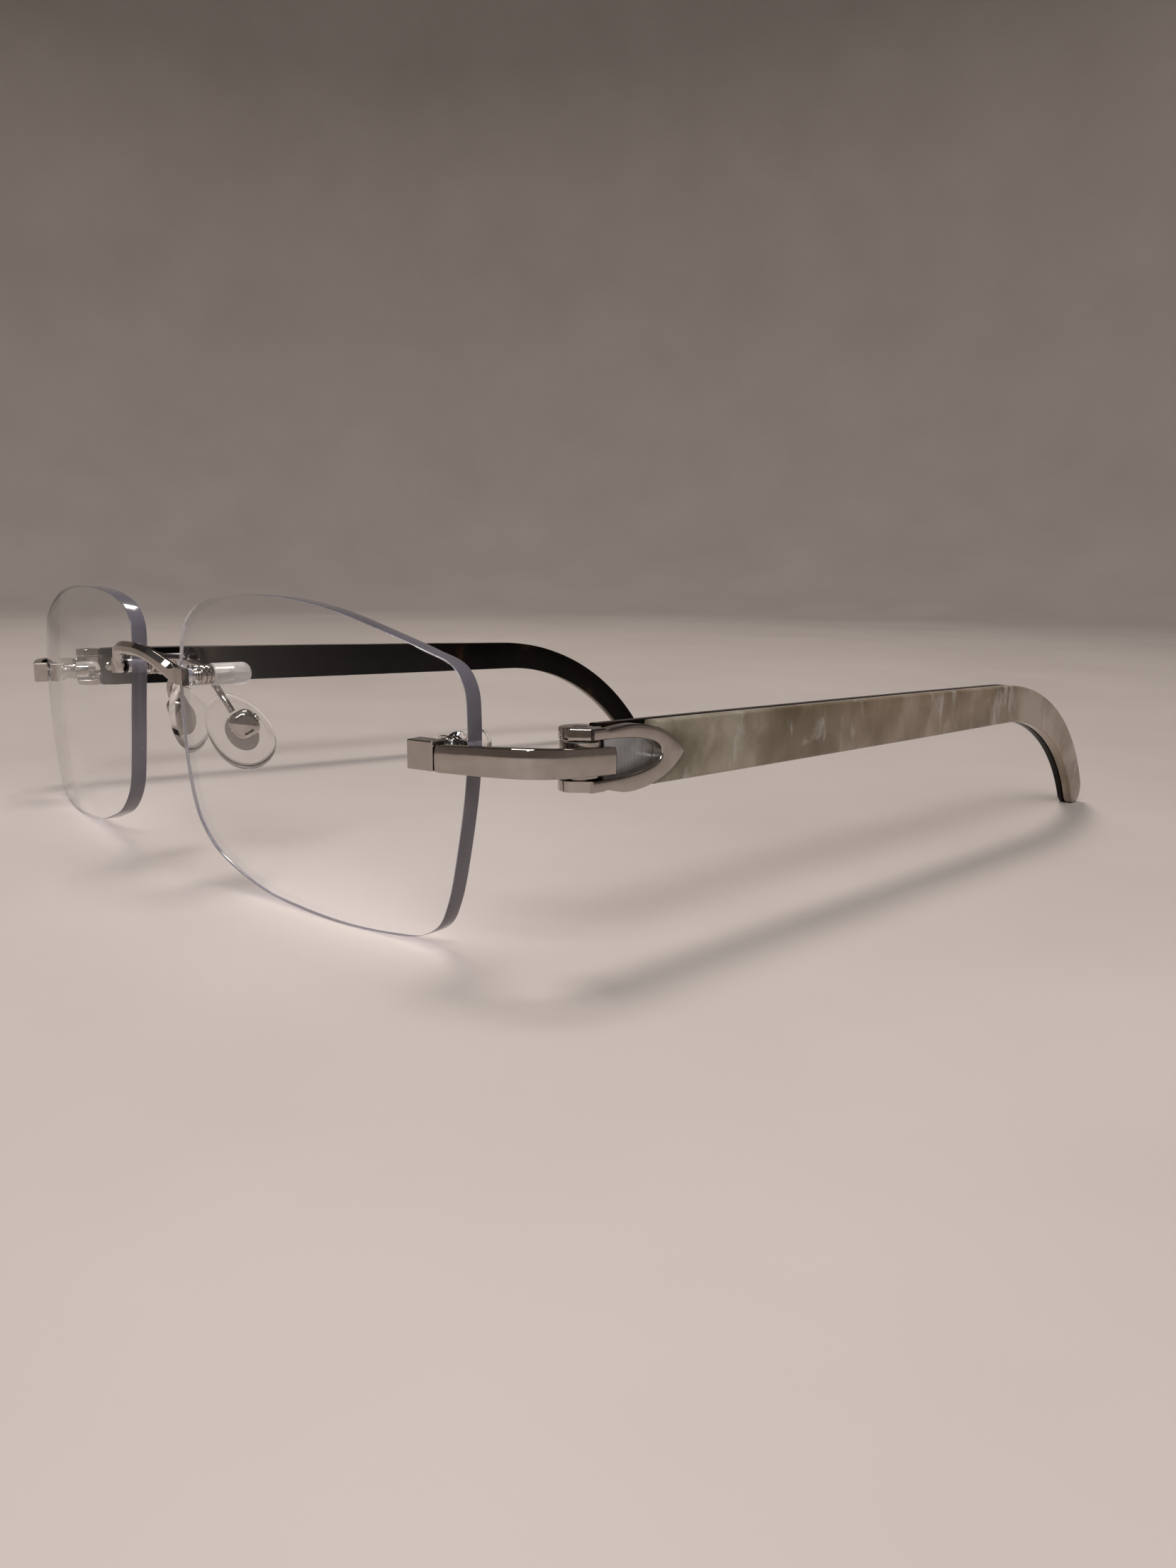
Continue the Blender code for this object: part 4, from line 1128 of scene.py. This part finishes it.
half_frame(1.0, "left", 0.0)
half_frame(-1.0, "right", RIGHT_FOLD)
bridge()


# ---------------------------------------------------------------- studio

def cove():
    """Round seamless floor that curves up into a low wall far outside the glasses."""
    flat_radius, bend, wall_top = 0.9, 0.35, 0.7
    profile = [(0.0, 0.0), (0.25, 0.0), (0.6, 0.0), (flat_radius, 0.0)]
    for k in range(1, 13):
        t = math.radians(90.0 * k / 12)
        profile.append((flat_radius + bend * math.sin(t), bend * (1 - math.cos(t))))
    profile.append((flat_radius + bend, wall_top))
    segments = 96
    verts, faces = [(0.0, 0.0, 0.0)], []
    for radius, height in profile[1:]:
        for k in range(segments):
            t = 2 * math.pi * k / segments
            verts.append((radius * math.cos(t), radius * math.sin(t), height))
    for k in range(segments):
        m = (k + 1) % segments
        faces.append((0, 1 + k, 1 + m))
        for row in range(len(profile) - 2):
            a, b = 1 + row * segments, 1 + (row + 1) * segments
            faces.append((a + k, b + k, b + m, a + m))
    mesh = bpy.data.meshes.new("cove")
    mesh.from_pydata(verts, [], faces)
    mesh.shade_smooth()
    mesh.materials.append(pale_floor("pale_floor"))
    ob = bpy.data.objects.new("cove", mesh)
    bpy.context.scene.collection.objects.link(ob)


def area_light(name, place, size, power, colour):
    """Rectangular light aimed at the middle of the glasses."""
    target = Vector((0.0, 0.0, 0.015))
    data = bpy.data.lights.new(name, "AREA")
    data.shape = "RECTANGLE"
    data.size, data.size_y = size
    data.energy = power
    data.color = colour
    ob = bpy.data.objects.new(name, data)
    ob.location = place
    ob.rotation_mode = "QUATERNION"
    ob.rotation_quaternion = (target - Vector(place)).to_track_quat("-Z", "Y")
    bpy.context.scene.collection.objects.link(ob)


def world():
    """Dim warm surroundings, lighter overhead."""
    made = bpy.data.worlds.new("studio")
    made.use_nodes = True
    tree = made.node_tree
    tree.nodes.clear()
    split = node(tree, "SeparateXYZ", Vector=node(tree, "TexCoord").outputs["Generated"])
    sky = ramp(tree, split.outputs["Z"], ((0.0, (0.12, 0.105, 0.10)), (0.4, (0.035, 0.030, 0.028)),
                                          (0.75, (0.05, 0.048, 0.05)), (1.0, (0.26, 0.26, 0.27))))
    background = node(tree, "Background", Color=sky, Strength=1.0)
    node(tree, "OutputWorld", Surface=background.outputs["Background"])
    bpy.context.scene.world = made


CAMERA_AT = (0.15210, -0.13208, 0.03995)
CAMERA_AZIMUTH, CAMERA_ELEVATION = math.radians(46.84), math.radians(10.51)
CAMERA_ROLL = math.radians(0.79)


def camera():
    data = bpy.data.cameras.new("camera")
    data.sensor_width = 36.0
    data.lens = 26.56
    data.clip_start, data.clip_end = 0.005, 20.0
    forward = Vector((-math.sin(CAMERA_AZIMUTH) * math.cos(CAMERA_ELEVATION),
                      math.cos(CAMERA_AZIMUTH) * math.cos(CAMERA_ELEVATION), -math.sin(CAMERA_ELEVATION)))
    right = Vector((math.cos(CAMERA_AZIMUTH), math.sin(CAMERA_AZIMUTH), 0.0))
    rise = right.cross(forward)
    x_axis = math.cos(CAMERA_ROLL) * right + math.sin(CAMERA_ROLL) * rise
    y_axis = -math.sin(CAMERA_ROLL) * right + math.cos(CAMERA_ROLL) * rise
    ob = bpy.data.objects.new("camera", data)
    ob.matrix_world = Matrix.Translation(CAMERA_AT) @ Matrix((x_axis, y_axis, -forward)).transposed().to_4x4()
    bpy.context.scene.collection.objects.link(ob)
    bpy.context.scene.camera = ob


def studio():
    cove()
    world()
    area_light("key", (-0.34, 0.18, 0.95), (0.30, 0.30), 5.2, (1.0, 0.94, 0.88))
    area_light("fill", (0.30, -0.36, 0.48), (0.36, 0.26), 2.5, (1.0, 0.98, 0.98))
    area_light("spark", (0.62, -0.55, 0.40), (0.05, 0.05), 0.35, (0.93, 0.96, 1.0))
    camera()
    bpy.context.scene.view_settings.view_transform = "Standard"


studio()

bpy.context.view_layer.update()
